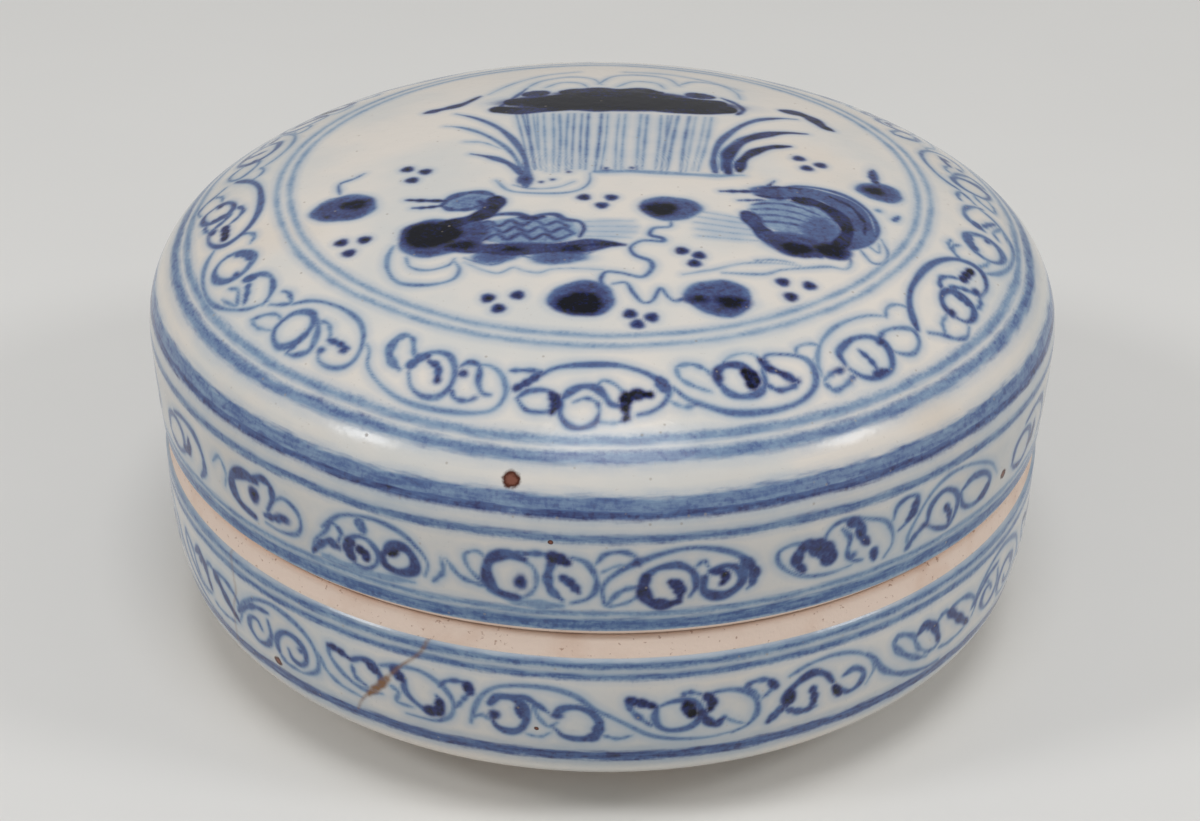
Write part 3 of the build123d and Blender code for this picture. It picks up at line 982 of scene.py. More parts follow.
# Vine round the side of the lid: degrees from the front, then height in millimetres
LID_VINE = (
    # In front
    Stroke("-8.2,34.6 -10,35 -11.8,34.3 -12.4,32.8 -12,31.2 -10.8,30.3 -9,30", 1.46, 0.72),
    Patch(-8.6, 31.9, 0.85, 1.0, 1.0),
    Stroke("-8.4,34.6 -7.1,33.6 -6.8,31.9 -7.6,30.5 -9,30", 0.7, 0.5),
    Stroke("-10,35 -7,35.4 -5,35.3", 0.98, 0.6),
    Stroke("-5.4,35.2 -4.4,35 -3.4,34.5", 1.46, 0.9),
    Stroke("-5.1,34.6 -5.6,32.8 -5.2,31.2 -4,30.1", 1.22, 0.66),
    Stroke("-4,32.8 -3,32.1 -2.2,31.1", 1.22, 0.82),
    Stroke("-3,35.2 -1.4,34.6 -0.4,33 -0.3,31.6 -1.2,30.4 -3,29.8", 0.92, 0.56),
    Stroke("-12,30.6 -8,29.5 -4,29.4", 1.46, 0.36),
    Stroke("-12.8,31.2 -14.4,32.8 -14.8,34.3 -13.4,34.9 -12.2,34.1", 0.73, 0.48),
    Stroke("-12.8,30.9 -15.4,31.6 -17,33.4", 0.85, 0.5),
    Stroke("-0.4,34.5 0.6,35.6 2.4,35.9 3.8,35.4 4.2,34.3", 0.79, 0.58),
    Patch(4.1, 34.7, 0.75, 0.7, 0.84),
    Stroke("0.2,33.5 2,34.3 4.2,34.3", 0.61, 0.46),
    Stroke(
        "0.6,29.8 0.4,31.8 1.8,33.4 4,34.6 7,35.6 10,36 13,35.5 15.6,34.4 17.2,32.8 17.4,31.2 "
        "16.6,30.4",
        0.92, 0.54,
    ),
    Stroke("15.8,34.1 17.2,32.4 17.1,30.9", 1.46, 0.74),
    Stroke("5,33 6.4,33.9 8.6,34.1 10.2,33.2 10.7,31.6 10,30.3", 1.1, 0.66),
    Stroke("5.1,33 4.8,31.4 5.6,30 7.2,29.5 8.8,29.8", 1.59, 0.84),
    Stroke("7.9,32.2 8.8,31.5 8.9,30.3", 1.4, 0.86),
    Stroke("0.8,29.6 2.4,31.3 4.5,31.9", 0.92, 0.52),
    Stroke("1,29.4 3,29.9 4.6,30.9", 0.73, 0.46),
    Stroke("11.6,32.4 11.5,31 12.4,30.2 14,30 15.5,30.8 16,32 15.3,33 13.8,33.5 12.2,33.1", 1.34, 0.7),
    Stroke("12.3,33 13.5,32.9 14,32 13.5,31.4", 1.16, 0.9),
    Stroke("10.6,33.8 11.4,34.3 12,33.6", 0.73, 0.56),
    # Right of it
    Stroke("24,34.3 21.6,34.6 20,34 20.2,32.6 21.8,31.2 24,30.3 27,30 29.5,30.2", 0.79, 0.5),
    Stroke("24.2,34.4 22.8,33.8 22.3,32.4 23.3,31.2", 1.52, 0.74),
    Stroke("24.4,33.8 25.8,33 26.5,31.8", 2.2, 0.76, 0.9),
    Stroke("25.8,33.4 25.8,34.8 27,35.8 29,35.9 31.4,35.2 33.8,34.2 35,32.6 35.2,31 34.2,29.7", 0.79, 0.54),
    Stroke("28.6,35.6 30,35 30.6,33.4 31.6,32.2", 1.46, 0.76),
    Stroke("27.8,35 29,33.6 28.8,32 29.6,30.8 31,30.4", 0.92, 0.58),
    Stroke("32.5,31.2 32.8,29.9", 1.22, 0.76),
    Patch(29.6, 31.4, 0.7, 0.5, 0.7),
    Stroke("35,34 35.4,35.4 37,36 38.4,35.6 38.4,34.2 37.2,33 36,32.4", 0.85, 0.58),
    Stroke("38.3,35 38.1,34 37.2,33.1", 1.34, 0.74),
    Stroke("38,29.6 37.6,31 38.8,33 40.6,35 43,36.1 46,36.2 49.5,35.4 52.6,34 54.6,32", 0.79, 0.46),
    Stroke("37.6,29.4 38.6,30.6 40,31.4", 1.04, 0.6),
    Patch(40.2, 31.5, 0.9, 0.5, 0.9),
    Stroke("40.6,31.6 41,33.6 43,34.6 45,33.8 46,32.4 45.6,30.6 44.6,29.7 42.6,30.2 40.8,31.2", 1.04, 0.62),
    Stroke("43.6,32.6 44.6,31.3 44.7,30.2", 1.1, 0.76),
    Stroke("46.4,33.2 48.6,34 51.4,33.4 52.8,32 51.6,30.6 49,30.4 47,31.4 46.4,33.2", 1.1, 0.6),
    Stroke("52.6,31.6 51.8,30.8 50.6,30.5", 1.34, 0.74),
    # Left of it
    Stroke(
        "-34.6,29.2 -34,31 -32.4,32.6 -31.4,34.2 -29.6,35.4 -26,36 -22.6,35.4 -20.4,34 -19.2,32.4 "
        "-19.6,30.8",
        0.85, 0.54,
    ),
    Stroke("-34.4,29.6 -33,31 -31.6,31.6 -30.6,31.1", 1.16, 0.7),
    Patch(-31.3, 31.3, 1.2, 0.55, 0.88),
    Stroke("-32.8,33 -31.4,34 -30.2,33.2 -30.6,32", 0.9, 0.56),
    Stroke("-29.4,30.6 -29.6,32 -28.2,33.3 -26.6,33.3 -25.4,32.2 -25.6,30.8 -27,29.8 -28.8,30", 0.95, 0.6),
    Stroke("-28.9,32.6 -29.3,31.4 -28.6,30.3", 1.5, 0.8),
    Stroke("-27.8,31.9 -27,31.5 -27,30.8", 1.3, 0.95),
    Stroke("-27.6,35.2 -27,34.2", 1.46, 0.58),
    Stroke(
        "-24.6,32.2 -23.6,33.4 -22,33.6 -20.9,32.6 -20.9,31.2 -22.6,30.5 -24.4,30.9 -24.8,32.2",
        1.4, 0.74,
    ),
    Stroke("-23.8,32.4 -22.9,32.9", 1.1, 0.96),
    Stroke("-33,29.5 -27,29.3 -21,29.7", 1.22, 0.34),
    Stroke("-18.6,30.4 -17.4,31.8 -17.6,33.4", 0.85, 0.5),
    Stroke("-43,34.6 -45.5,34.6 -47.6,33.6 -47.9,32 -46.6,30.6 -44,30", 1.59, 0.72),
    Patch(-43.7, 32.8, 1.1, 1.15, 1.0),
    Stroke("-44,34.7 -42,35.4 -40.6,35 -40.4,33.6 -41.4,31.8", 1.16, 0.7),
    Stroke("-40.6,33.2 -38.6,34.3 -36.6,33.6 -36,32 -37,30.6 -39.4,30 -42,30.1", 0.85, 0.54),
    Patch(-38.8, 31.8, 1.3, 0.65, 0.9),
    Stroke("-42,31 -40.4,31.3 -38.8,31.6", 1.16, 0.7),
    Stroke("-52,33.4 -50.4,34.6 -49.2,33.2 -49.6,31.4", 0.79, 0.42),
    Stroke("-56,29.6 -54.6,31 -54.8,33 -56.6,34.6 -60,35 -63,34.4", 1.16, 0.58),
    Stroke("-60.4,31.1 -58.8,31.6 -58.6,33", 1.4, 0.82),
    Stroke("-66,31 -65.4,33 -63,33.8 -60.6,33 -60.4,31 -62.4,29.9 -64.8,30.2 -66,31", 1.1, 0.62),
)

# Vine round the base: degrees from the front, then height in millimetres
BASE_VINE = (
    # In front
    Stroke(
        "-14.8,13.6 -14.2,15.8 -13.2,17.6 -11.4,18.8 -8.4,19.3 -5,19.2 -2.4,18.4 -0.4,16.9 1.4,16 "
        "3.4,14.9 6,13.4 9,12.6 13,12.3 16,12.6",
        0.9, 0.48,
    ),
    Stroke(
        "-12.4,16.6 -11.4,17.6 -9.6,17.6 -8.4,16.6 -8.2,15 -9,13.6 -10.4,13.2 -11.8,13.8 "
        "-12.4,15.2",
        1.23, 0.66,
    ),
    Patch(-11.9, 15.2, 0.8, 0.75, 0.95),
    Stroke("-9.2,16.5 -8.6,15.2", 1.06, 0.8),
    Stroke("-11,17.6 -8.6,17.9 -7,17.2 -5.6,16.2", 1.01, 0.64),
    Stroke("-7.4,17.2 -6.8,15.6 -5.6,14.4 -4.6,15", 0.78, 0.48),
    Stroke("-5,15.9 -3.8,16.9 -2,17 -0.4,16.2 0.3,14.8 -0.4,13.3 -2,12.9 -3.8,13.2 -4.9,14.2", 1.12, 0.64),
    Patch(-4.5, 15.9, 0.75, 0.55, 0.86),
    Stroke("0.3,15.2 -0.2,13.4 -1.8,12.9", 1.4, 0.72),
    Stroke("-8.2,13.1 -6.6,12.9 -5.4,13.6", 0.67, 0.44),
    Stroke("0.8,13.4 2.4,13 4,13.4", 0.78, 0.48),
    Stroke("-14.6,14.4 -13.4,14.9 -12.6,14.4", 0.78, 0.48),
    # Right of it
    Stroke("3.4,18 5,17.6 6.6,17.1", 1.29, 0.92),
    Stroke("3.4,18 3.8,16.8 5,15.6 6.2,14.6", 0.95, 0.58),
    Stroke(
        "6.8,17 6.6,15.6 7.2,14.4 8.6,13.8 10.6,14 11.8,15 11.9,16.4 10.8,17.5 8.8,17.6 6.8,17",
        1.06, 0.62,
    ),
    Stroke("10.2,17.1 10.9,15.8", 1.57, 1.0, 0.9),
    Stroke("9.6,18.3 10.6,18.5 12,18.1", 0.84, 0.6),
    Stroke("12.4,18 13.2,17.1 13,16", 1.29, 0.9),
    Stroke("12,16 12.6,14.8 13.8,14 14.7,14.7", 1.29, 0.8),
    Stroke("13.4,18.2 15.4,18.2 17.4,17.6 18.6,16.2 18.8,14.6 17.8,13.2 16,12.5", 0.95, 0.54),
    Stroke("14.6,15 16,14 17.4,13.4", 0.73, 0.48),
    Stroke("17,18.2 18.2,18.7 19.8,18.6 21,17.8", 0.9, 0.6),
    Stroke("20.2,18.3 21,17.4", 1.29, 0.8),
    Stroke("17.6,18 18.6,17 19,16", 0.73, 0.54),
    Stroke("20.6,17.4 19.4,16.4", 0.73, 0.54),
    Stroke("20.4,13 21.4,14 22.4,14.8", 1.29, 0.7),
    Stroke("22.6,14.4 22.3,15.8 23.6,17.2 25.6,18 27.4,17.4 28.6,16", 1.23, 0.74),
    Stroke("22.7,15.2 22.9,16.4", 1.68, 0.9),
    Stroke("25.8,16.1 26.2,14.6 25.9,13.4", 1.18, 0.8),
    Stroke("22.8,14 24.6,13.3 26.6,13.4", 1.12, 0.66),
    Stroke("22.6,18.4 25,19.2 28,19.5 31,19 33.6,17.6 34.6,15.8 33.6,14", 0.78, 0.48),
    Stroke("30,16.4 31.6,16.8 33,15.8 32.6,14.4 31,13.9 29.8,14.8", 1.06, 0.6),
    Stroke("28.9,15.3 29.9,13.9", 1.29, 0.96),
    Stroke("33.2,18 34.6,16.9 35.9,15.2 37.7,13.9 39.6,13 41.8,12.2 44.5,11.6 47,11.4", 1.05, 0.54),
    Stroke("37.9,18.6 37.5,17.6 38.5,16.4 40.1,15.2 42,14.1 44,13.4", 1.1, 0.5),
    Stroke("37.9,18.6 39.4,18.2 40.8,17.4 41.3,16.4 42.1,15.3 43.4,14.4", 1.0, 0.5),
    Stroke("41.6,17.4 42.7,18 43.8,17.7 44.8,16.8 45.5,15.6 46,14.6", 1.35, 0.74),
    Patch(43.6, 17.5, 0.8, 0.6, 0.84),
    Stroke("43.4,14.2 44.8,13.9 46.2,14.2", 0.85, 0.5),
    Stroke("45.2,17.5 46.2,18.1 47.4,17.9", 0.9, 0.52),
    Stroke("47.2,17.8 48.4,17 49.9,15.8 51.4,14.7 52.6,13.9", 1.35, 0.76),
    Patch(48.4, 17.0, 0.9, 0.6, 0.86),
    Stroke("48,18.1 50.1,18.2 51.9,17.7 53.2,16.8 53.9,15.6 53.4,14.4", 0.95, 0.52),
    Stroke("46.4,13.5 48.2,13.2 50.2,13.3 52,13.6", 0.85, 0.48),
    Stroke("54.8,18 56,17.6 57.4,16.8", 0.85, 0.46),
    # Left of it
    Stroke("-33.4,18.3 -32,18.2 -30.2,17.6", 1.06, 0.86),
    Stroke("-33.4,18.2 -33.2,17 -31.8,15.6 -30,14.6 -28,14.2 -26,14.5", 0.9, 0.5),
    Stroke("-35,16.6 -34,14.8 -32,13.6 -29,13", 0.84, 0.44),
    Stroke("-30,17.6 -28.6,18.2 -27,18 -26.2,17 -26,15.9 -27,14.9", 1.06, 0.68),
    Stroke("-27.6,17.9 -26.4,17.1", 1.34, 0.82),
    Stroke("-30,16.9 -29.6,15.6 -28,14.8", 0.84, 0.58),
    Stroke(
        "-26,18.2 -23.6,18.8 -21,18.9 -19,18.2 -17.4,17 -16.8,15.4 -17.4,13.8 -19.4,12.8 -23,12.8",
        0.9, 0.48,
    ),
    Stroke("-24.3,18.3 -23.2,17.2", 1.46, 0.88),
    Stroke("-22.8,17.4 -22.9,16 -21.8,14.8 -20,13.9 -18.4,14.3 -18.2,15.4 -18.9,16.3", 1.01, 0.6),
    Stroke("-20.2,14 -18.8,14.3 -18.5,15.7", 1.57, 0.92),
    Stroke("-24.8,16 -23.8,15.4 -24.1,14.1 -22,13.9", 0.84, 0.46),
    Stroke("-18.5,17.5 -17.6,18.4 -16,18.7 -14.8,18.5", 0.84, 0.6),
    Stroke("-15.1,18.5 -14.6,17.4", 1.29, 0.92),
    Stroke("-14.8,17.5 -15.8,16.2 -16.8,15", 0.84, 0.54),
    Stroke(
        "-50,15.8 -48,17.6 -45.6,19 -42.5,19.6 -39,19.1 -36.4,17.8 -35.2,15.8 -35.6,14 -37.6,12.8 "
        "-39.4,12.5",
        0.95, 0.48,
    ),
    Stroke("-50,15.4 -48,16.9 -46,17.9 -43.4,18.2", 1.06, 0.6),
    Stroke(
        "-43.6,17.2 -43.2,15.4 -44.2,13.8 -46.2,13.4 -47.6,14.6 -47.2,16 -45.8,16.3 -45,15.4",
        1.06, 0.56,
    ),
    Stroke(
        "-42,13.8 -42.2,15.4 -41,16.8 -39.2,17.1 -37.6,16.3 -37.2,14.8 -38.2,13.7 -39.6,13.9 "
        "-40.2,15",
        1.12, 0.62,
    ),
    Stroke("-42.6,14.4 -41,12.8 -38.6,12.7", 0.9, 0.5),
    Patch(-38.0, 15.7, 0.7, 0.5, 0.74),
)

# Stained cracks in the base, laid out as its vine is
CRACKS = (
    Stroke(
        "-19,24.5 -20.5,21.5 -22,20 -23.5,18.7 -25,17 -26,15.7 -27.5,14.3 -29,12.8 -30,11",
        0.3, 0.8, layer=Layer.STAIN,
    ),
    Stroke("-25.2,16.8 -26,15.8 -27,14.8 -28,13.8", 0.9, 1.0, layer=Layer.STAIN),
    Stroke("-50.5,22.8 -50.3,20 -50,18 -51,15.5 -51.5,13 -52.5,9", 0.28, 0.5, layer=Layer.STAIN),
)


class Along(Enum):
    """Which way a ring's place is counted."""

    RADIUS = "radius"
    HEIGHT = "height"


def round_the_box(piece: bpy.types.Object, along: Along) -> np.ndarray:
    """A piece's points as degrees from the front, and radius or height.

    Args:
        piece: the piece.
        along: which of the two the second number is.

    Returns:
        An array of places.
    """
    places = read_places(piece)
    turn = np.degrees(np.arctan2(places[:, 0], -places[:, 1]))
    second = np.hypot(places[:, 0], places[:, 1]) if along is Along.RADIUS else places[:, 2]
    return np.stack([turn, second], axis=1)


class Socket:
    """A value in a finish's node sheet, which takes part in plain maths."""

    def __init__(self, sheet: "NodeSheet", end: bpy.types.NodeSocket) -> None:
        """Keep the sheet and the end of the node that gives the value."""
        self.sheet = sheet
        self.end = end

    def __add__(self, other: "Socket | float") -> "Socket":
        """Sum."""
        return self.sheet.maths("ADD", self, other)

    def __radd__(self, other: float) -> "Socket":
        """Sum with a number on the left."""
        return self.sheet.maths("ADD", other, self)

    def __sub__(self, other: "Socket | float") -> "Socket":
        """Difference."""
        return self.sheet.maths("SUBTRACT", self, other)

    def __rsub__(self, other: float) -> "Socket":
        """Difference with a number on the left."""
        return self.sheet.maths("SUBTRACT", other, self)

    def __mul__(self, other: "Socket | float") -> "Socket":
        """Product."""
        return self.sheet.maths("MULTIPLY", self, other)

    def __rmul__(self, other: float) -> "Socket":
        """Product with a number on the left."""
        return self.sheet.maths("MULTIPLY", other, self)

    def __truediv__(self, other: "Socket | float") -> "Socket":
        """Quotient."""
        return self.sheet.maths("DIVIDE", self, other)

    def __gt__(self, other: "Socket | float") -> "Socket":
        """One where this value is the greater."""
        return self.sheet.maths("GREATER_THAN", self, other)

    def __pow__(self, other: float) -> "Socket":
        """Power."""
        return self.sheet.maths("POWER", self, other)


Value = Socket | float
Colour = tuple[float, float, float]


def from_screen(red: int, green: int, blue: int) -> Colour:
    """A colour as the shader counts it, from its 0 to 255 screen values.

    Args:
        red: red.
        green: green.
        blue: blue.

    Returns:
        The linear colour.
    """
    shares = [level / 255 for level in (red, green, blue)]
    return tuple(s / 12.92 if s <= 0.04045 else ((s + 0.055) / 1.055) ** 2.4 for s in shares)


class NodeSheet:
    """The node sheet of one finish, with the few moves that the finishes are made of."""

    def __init__(self, name: str) -> None:
        """Start an empty sheet for a new material.

        Args:
            name: name of the material.
        """
        self.material = bpy.data.materials.new(name)
        self.material.use_nodes = True
        self.tree = self.material.node_tree
        self.tree.nodes.clear()
        self.place = self.node("ShaderNodeTexCoord", out="Object")

    def node(
        self,
        kind: str,
        settings: dict | None = None,
        inputs: dict | None = None,
        out: str | int = 0,
    ) -> Socket:
        """Add a node, set it up, feed it and take one of its outputs.

        Args:
            kind: Blender's name of the node type.
            settings: the node's own settings, set before its sockets.
            inputs: values or links by socket name or number.
            out: which output to take.

        Returns:
            The output.
        """
        node = self.tree.nodes.new(kind)
        for key, value in (settings or {}).items():
            setattr(node, key, value)
        for key, value in (inputs or {}).items():
            if isinstance(value, Socket):
                self.tree.links.new(value.end, node.inputs[key])
            elif isinstance(value, tuple) and len(node.inputs[key].default_value) == 4:
                node.inputs[key].default_value = (*value, 1)
            else:
                node.inputs[key].default_value = value
        return Socket(self, node.outputs[out])

    def maths(self, operation: str, first: Value, second: Value = 0.0, third: Value = 0.0) -> Socket:
        """A Math node on up to three values."""
        inputs = {0: first, 1: second, 2: third}
        return self.node("ShaderNodeMath", {"operation": operation}, inputs)

    def ease(self, value: Value, low: Value, high: Value) -> Socket:
        """Zero below low, one above high, and smooth between."""
        inputs = {"Value": value, "From Min": low, "From Max": high}
        return self.node("ShaderNodeMapRange", {"interpolation_type": "SMOOTHSTEP"}, inputs)

    def noise(self, grain: float, detail: float = 2.0, place: Socket | None = None) -> Socket:
        """Smooth noise about 0.5.

        Args:
            grain: about how wide its blotches are, in millimetres.
            detail: how many finer layers lie over it.
            place: where it is read, or the piece's own place.

        Returns:
            The noise.
        """
        inputs = {
            "Vector": place or self.place,
            "Scale": 1 / (grain * MM),
            "Detail": detail,
        }
        return self.node("ShaderNodeTexNoise", {}, inputs)

    def cells(self, spacing: float) -> Socket:
        """Distance to the nearest of many scattered points, in shares of their spacing."""
        inputs = {"Vector": self.place, "Scale": 1 / (spacing * MM)}
        return self.node("ShaderNodeTexVoronoi", {}, inputs)

    def attribute(self, name: str) -> Socket:
        """A number kept at the piece's own points."""
        return self.node("ShaderNodeAttribute", {"attribute_name": name}, out="Fac")

    def blend(self, share: Value, under: Socket | Colour, over: Socket | Colour) -> Socket:
        """One colour over another by a share."""
        inputs = {0: share, 6: under, 7: over}
        return self.node("ShaderNodeMix", {"data_type": "RGBA"}, inputs, out=2)

    def ramp(self, share: Value, stops: tuple[tuple[float, Colour], ...]) -> Socket:
        """A colour picked along stops.

        Args:
            share: where along the stops.
            stops: places from 0 to 1 and their colours, in order.

        Returns:
            The colour.
        """
        picked = self.node("ShaderNodeValToRGB", {}, {"Fac": share})
        elements = picked.end.node.color_ramp.elements
        elements[0].position, elements[0].color = stops[0][0], (*stops[0][1], 1)
        elements[1].position, elements[1].color = stops[-1][0], (*stops[-1][1], 1)
        for position, colour in stops[1:-1]:
            elements.new(position).color = (*colour, 1)
        return picked

    def bump(self, height: Socket, distance: float, strength: float = 1.0) -> Socket:
        """Relief from a height between 0 and 1, which stands for a distance in millimetres."""
        inputs = {"Strength": strength, "Distance": distance * MM, "Height": height}
        return self.node("ShaderNodeBump", {}, inputs)

    def finish(self, inputs: dict) -> bpy.types.Material:
        """Close the sheet with a surface shader.

        Args:
            inputs: values or links of the shader's sockets.

        Returns:
            The material.
        """
        surface = self.node("ShaderNodeBsdfPrincipled", {}, inputs)
        output = self.tree.nodes.new("ShaderNodeOutputMaterial")
        self.tree.links.new(surface.end, output.inputs["Surface"])
        return self.material


@dataclass(frozen=True)
class Ring:
    """A line drawn round the box on the wheel, in millimetres. It also places thin blue round the box, and
    the painted shade at the lid's lower edge.
    """

    place: float
    width: float
    load: float
    along: Along = Along.HEIGHT


@dataclass(frozen=True)
class Spot:
    """A burnt speck of iron in the glaze, in millimetres."""

    place: tuple[float, float, float]
    size: float


LID_RINGS = (
    Ring(34.1, 0.8, 0.26, Along.RADIUS),
    Ring(35.5, 0.8, 0.26, Along.RADIUS),
    Ring(45.3, 0.9, 0.34, Along.RADIUS),
    Ring(46.7, 1.1, 0.42, Along.RADIUS),
    Ring(40.4, 2.2, 0.43),
    Ring(39.6, 0.7, 0.62),
    Ring(37.3, 1.1, 0.44),
    Ring(28.6, 0.8, 0.36),
    Ring(27.2, 1.5, 0.46),
)
LID_HAZES_AND_SHADE = (
    # Lowest band: partly blue that has run to the lid's lower edge, partly painted shade that darkens the
    # glaze towards the rim
    Ring(26.8, 4.0, 0.8),
    Ring(38.2, 2.8, 0.34),
    Ring(32.0, 9.0, 0.3),
)
BASE_RINGS = (
    Ring(22.2, 0.9, 0.42),
    Ring(20.8, 0.9, 0.46),
    Ring(10.5, 1.5, 0.6),
)
BASE_HAZES = (
    Ring(21.9, 3.0, 0.66),
    Ring(10.6, 4.0, 0.5),
    Ring(15.6, 9.0, 0.3),
)
LID_SPOTS = (
    Spot((-8.3, -47.7, 42.4), 1.7),
    Spot((41.7, -27.6, 31.0), 1.2),
    Spot((-4.6, -49.8, 36.8), 0.5),
)
BASE_SPOTS = (
    Spot((-33.2, -35.9, 12.2), 1.2),
    Spot((-6.0, -48.9, 14.0), 0.5),
)


@dataclass(frozen=True)
class Glaze:
    """Grey-white porcelain glaze over blue painting.

    Grains, spacings, depths and heights are in millimetres. Rings, thin blue and painted shade below the
    shoulder are counted by height, and rings above it by radius.
    """

    pale: Colour = from_screen(224, 217, 208)
    cool: Colour = from_screen(211, 210, 206)
    warm: Colour = from_screen(218, 204, 187)
    wash: Colour = from_screen(146, 168, 192)
    # Grey-blue of thin blue that has run round the box, also the colour of the painted shade at the lid's
    # lower edge
    haze_and_shade: Colour = from_screen(144, 162, 178)
    pit: Colour = from_screen(150, 140, 128)
    dust: Colour = from_screen(168, 158, 146)
    stain: Colour = from_screen(132, 96, 66)
    iron: Colour = from_screen(78, 40, 28)
    rust: Colour = from_screen(126, 80, 66)
    gloss: float = 0.15
    ior: float = 1.32
    shoulder: float = 42.8
    out_of_reach: float = 99.0
    fine_grain: float = 0.45
    patch_grain: float = 2.6
    pit_spacing: float = 2.3
    relief_grain: float = 1.5
    relief_depth: float = 0.035
    cloud_grain: float = 13.0
    warm_grain: float = 21.0
    wobble_grain: float = 16.0
    wobble: float = 0.7
    streak_grain: float = 3.2
    streak_squeeze: tuple[float, float, float] = (1.0, 1.0, 7.0)
    heap_grain: float = 0.7
    inks: tuple[tuple[float, Colour], ...] = (
        (0.1, from_screen(166, 183, 197)),
        (0.32, from_screen(108, 139, 172)),
        (0.52, from_screen(50, 85, 141)),
        (0.76, from_screen(20, 34, 98)),
        (1.0, from_screen(4, 6, 20)),
    )

    def make(
        self,
        name: str,
        rings: tuple[Ring, ...] = (),
        hazes_and_shade: tuple[Ring, ...] = (),
        spots: tuple[Spot, ...] = (),
    ) -> bpy.types.Material:
        """Mix the finish.

        Args:
            name: name of the material.
            rings: lines round the box. Without any the glaze is plain.
            hazes_and_shade: thin blue that has run round the box, and on the lid painted shade that darkens
                the glaze towards its lower edge.
            spots: specks of iron.

        Returns:
            The material.
        """
        sheet = NodeSheet(name)
        fine = sheet.noise(self.fine_grain, 3)
        patchy = sheet.noise(self.patch_grain, 3)
        colour = self._body(sheet, fine)
        pits = 1 - sheet.ease(sheet.cells(self.pit_spacing), 0.03, 0.09)
        relief = sheet.noise(self.relief_grain, 3) - pits * 0.5
        if rings:
            colour = self._painting(sheet, colour, rings, hazes_and_shade, fine, patchy)
            colour = self._stains(sheet, colour, spots, fine)
        colour = sheet.blend(pits * 0.5, colour, self.pit)
        rough = self.gloss + fine * 0.06 + pits * 0.3
        return sheet.finish(
            {
                "Base Color": colour,
                "Roughness": rough,
                "IOR": self.ior,
                "Normal": sheet.bump(relief, self.relief_depth),
            }
        )

    def _body(self, sheet: NodeSheet, fine: Socket) -> Socket:
        """Cloudy grey-white of the glaze with warm patches and fine iron dust.

        Args:
            sheet: the finish's sheet.
            fine: fine noise.

        Returns:
            The colour.
        """
        cloud = sheet.ease(sheet.noise(self.cloud_grain, 3), 0.38, 0.68)
        colour = sheet.blend(cloud, self.pale, self.cool)
        warm = sheet.ease(sheet.noise(self.warm_grain, 2), 0.55, 0.8) * 0.6
        colour = sheet.blend(warm, colour, self.warm)
        dust = sheet.ease(fine, 0.66, 0.74) * 0.22
        return sheet.blend(dust, colour, self.dust)

    def _painting(
        self,
        sheet: NodeSheet,
        body: Socket,
        rings: tuple[Ring, ...],
        hazes_and_shade: tuple[Ring, ...],
        fine: Socket,
        patchy: Socket,
    ) -> Socket:
        """Washes, brush marks and rings under the glaze, and painted shade towards the lid's lower edge.

        Args:
            sheet: the finish's sheet.
            body: colour of the glaze.
            rings: lines round the box.
            hazes_and_shade: thin blue that has run round the box, and on the lid painted shade that darkens
                the glaze towards its lower edge.
            fine: fine noise.
            patchy: coarser noise.

        Returns:
            The colour.
        """
        x = sheet.node("ShaderNodeSeparateXYZ", {}, {0: sheet.place}, 0) / MM
        y = sheet.node("ShaderNodeSeparateXYZ", {}, {0: sheet.place}, 1) / MM
        height = sheet.node("ShaderNodeSeparateXYZ", {}, {0: sheet.place}, 2) / MM
        radius = (x * x + y * y) ** 0.5
        on_top = height > self.shoulder
        wobble = (sheet.noise(self.wobble_grain, 2) - 0.5) * self.wobble + (fine - 0.5) * 0.22
        stretched = sheet.node(
            "ShaderNodeVectorMath",
            {"operation": "MULTIPLY"},
            {0: sheet.place, 1: self.streak_squeeze},
        )
        streaks = sheet.noise(self.streak_grain, 4, stretched)
        edge = sheet.attribute("brush_edge") + (fine - 0.5) * 0.2
        load = sheet.attribute("brush_ink")
        for ring in rings:
            if ring.along is Along.RADIUS:
                away = radius + wobble - ring.place + (1 - on_top) * self.out_of_reach
            else:
                away = height + wobble - ring.place + on_top * self.out_of_reach
            gap = sheet.maths("ABSOLUTE", away) - ring.width * (0.3 + streaks * 0.4)
            edge = sheet.maths("MINIMUM", edge, gap)
            laid = (1 - sheet.ease(gap, 0.0, 0.6)) * (ring.load + (streaks - 0.5) * ring.load)
            load = sheet.maths("MAXIMUM", load, laid)
        heaped = sheet.ease(sheet.noise(self.heap_grain, 3), 0.5, 0.72) * 0.2
        thinned = sheet.ease(edge, -0.5, 0.15) * 0.1
        mottle = (fine - 0.5) * 0.5 + (patchy - 0.5) * 0.36 + heaped
        heavy = load - thinned + mottle * (load * 1.1 + 0.06)
        ink = sheet.ramp(heavy, self.inks)
        covered = 1 - sheet.ease(edge, -0.34, 0.3)
        halo = (1 - sheet.ease(edge, 0.0, 1.0)) * (0.14 + patchy * 0.36)
        clouded = 0.5 + patchy * 0.8 + (fine - 0.5) * 0.3
        # Thin blue round the box; on the lid its lowest band is partly painted shade that darkens the glaze
        # towards the rim
        run = 0.0
        for haze_and_shade in hazes_and_shade:
            away = height + wobble - haze_and_shade.place + on_top * self.out_of_reach
            away = sheet.maths("ABSOLUTE", away)
            thin = 1 - sheet.ease(away, haze_and_shade.width * 0.25, haze_and_shade.width * 0.7)
            run = sheet.maths("MAXIMUM", run, thin * haze_and_shade.load)
        colour = sheet.blend(run * clouded, body, self.haze_and_shade)
        colour = sheet.blend(sheet.attribute("brush_wash") * clouded, colour, self.wash)
        colour = sheet.blend(halo, colour, self.wash)
        return sheet.blend(covered * (0.74 + load * 0.26), colour, ink)

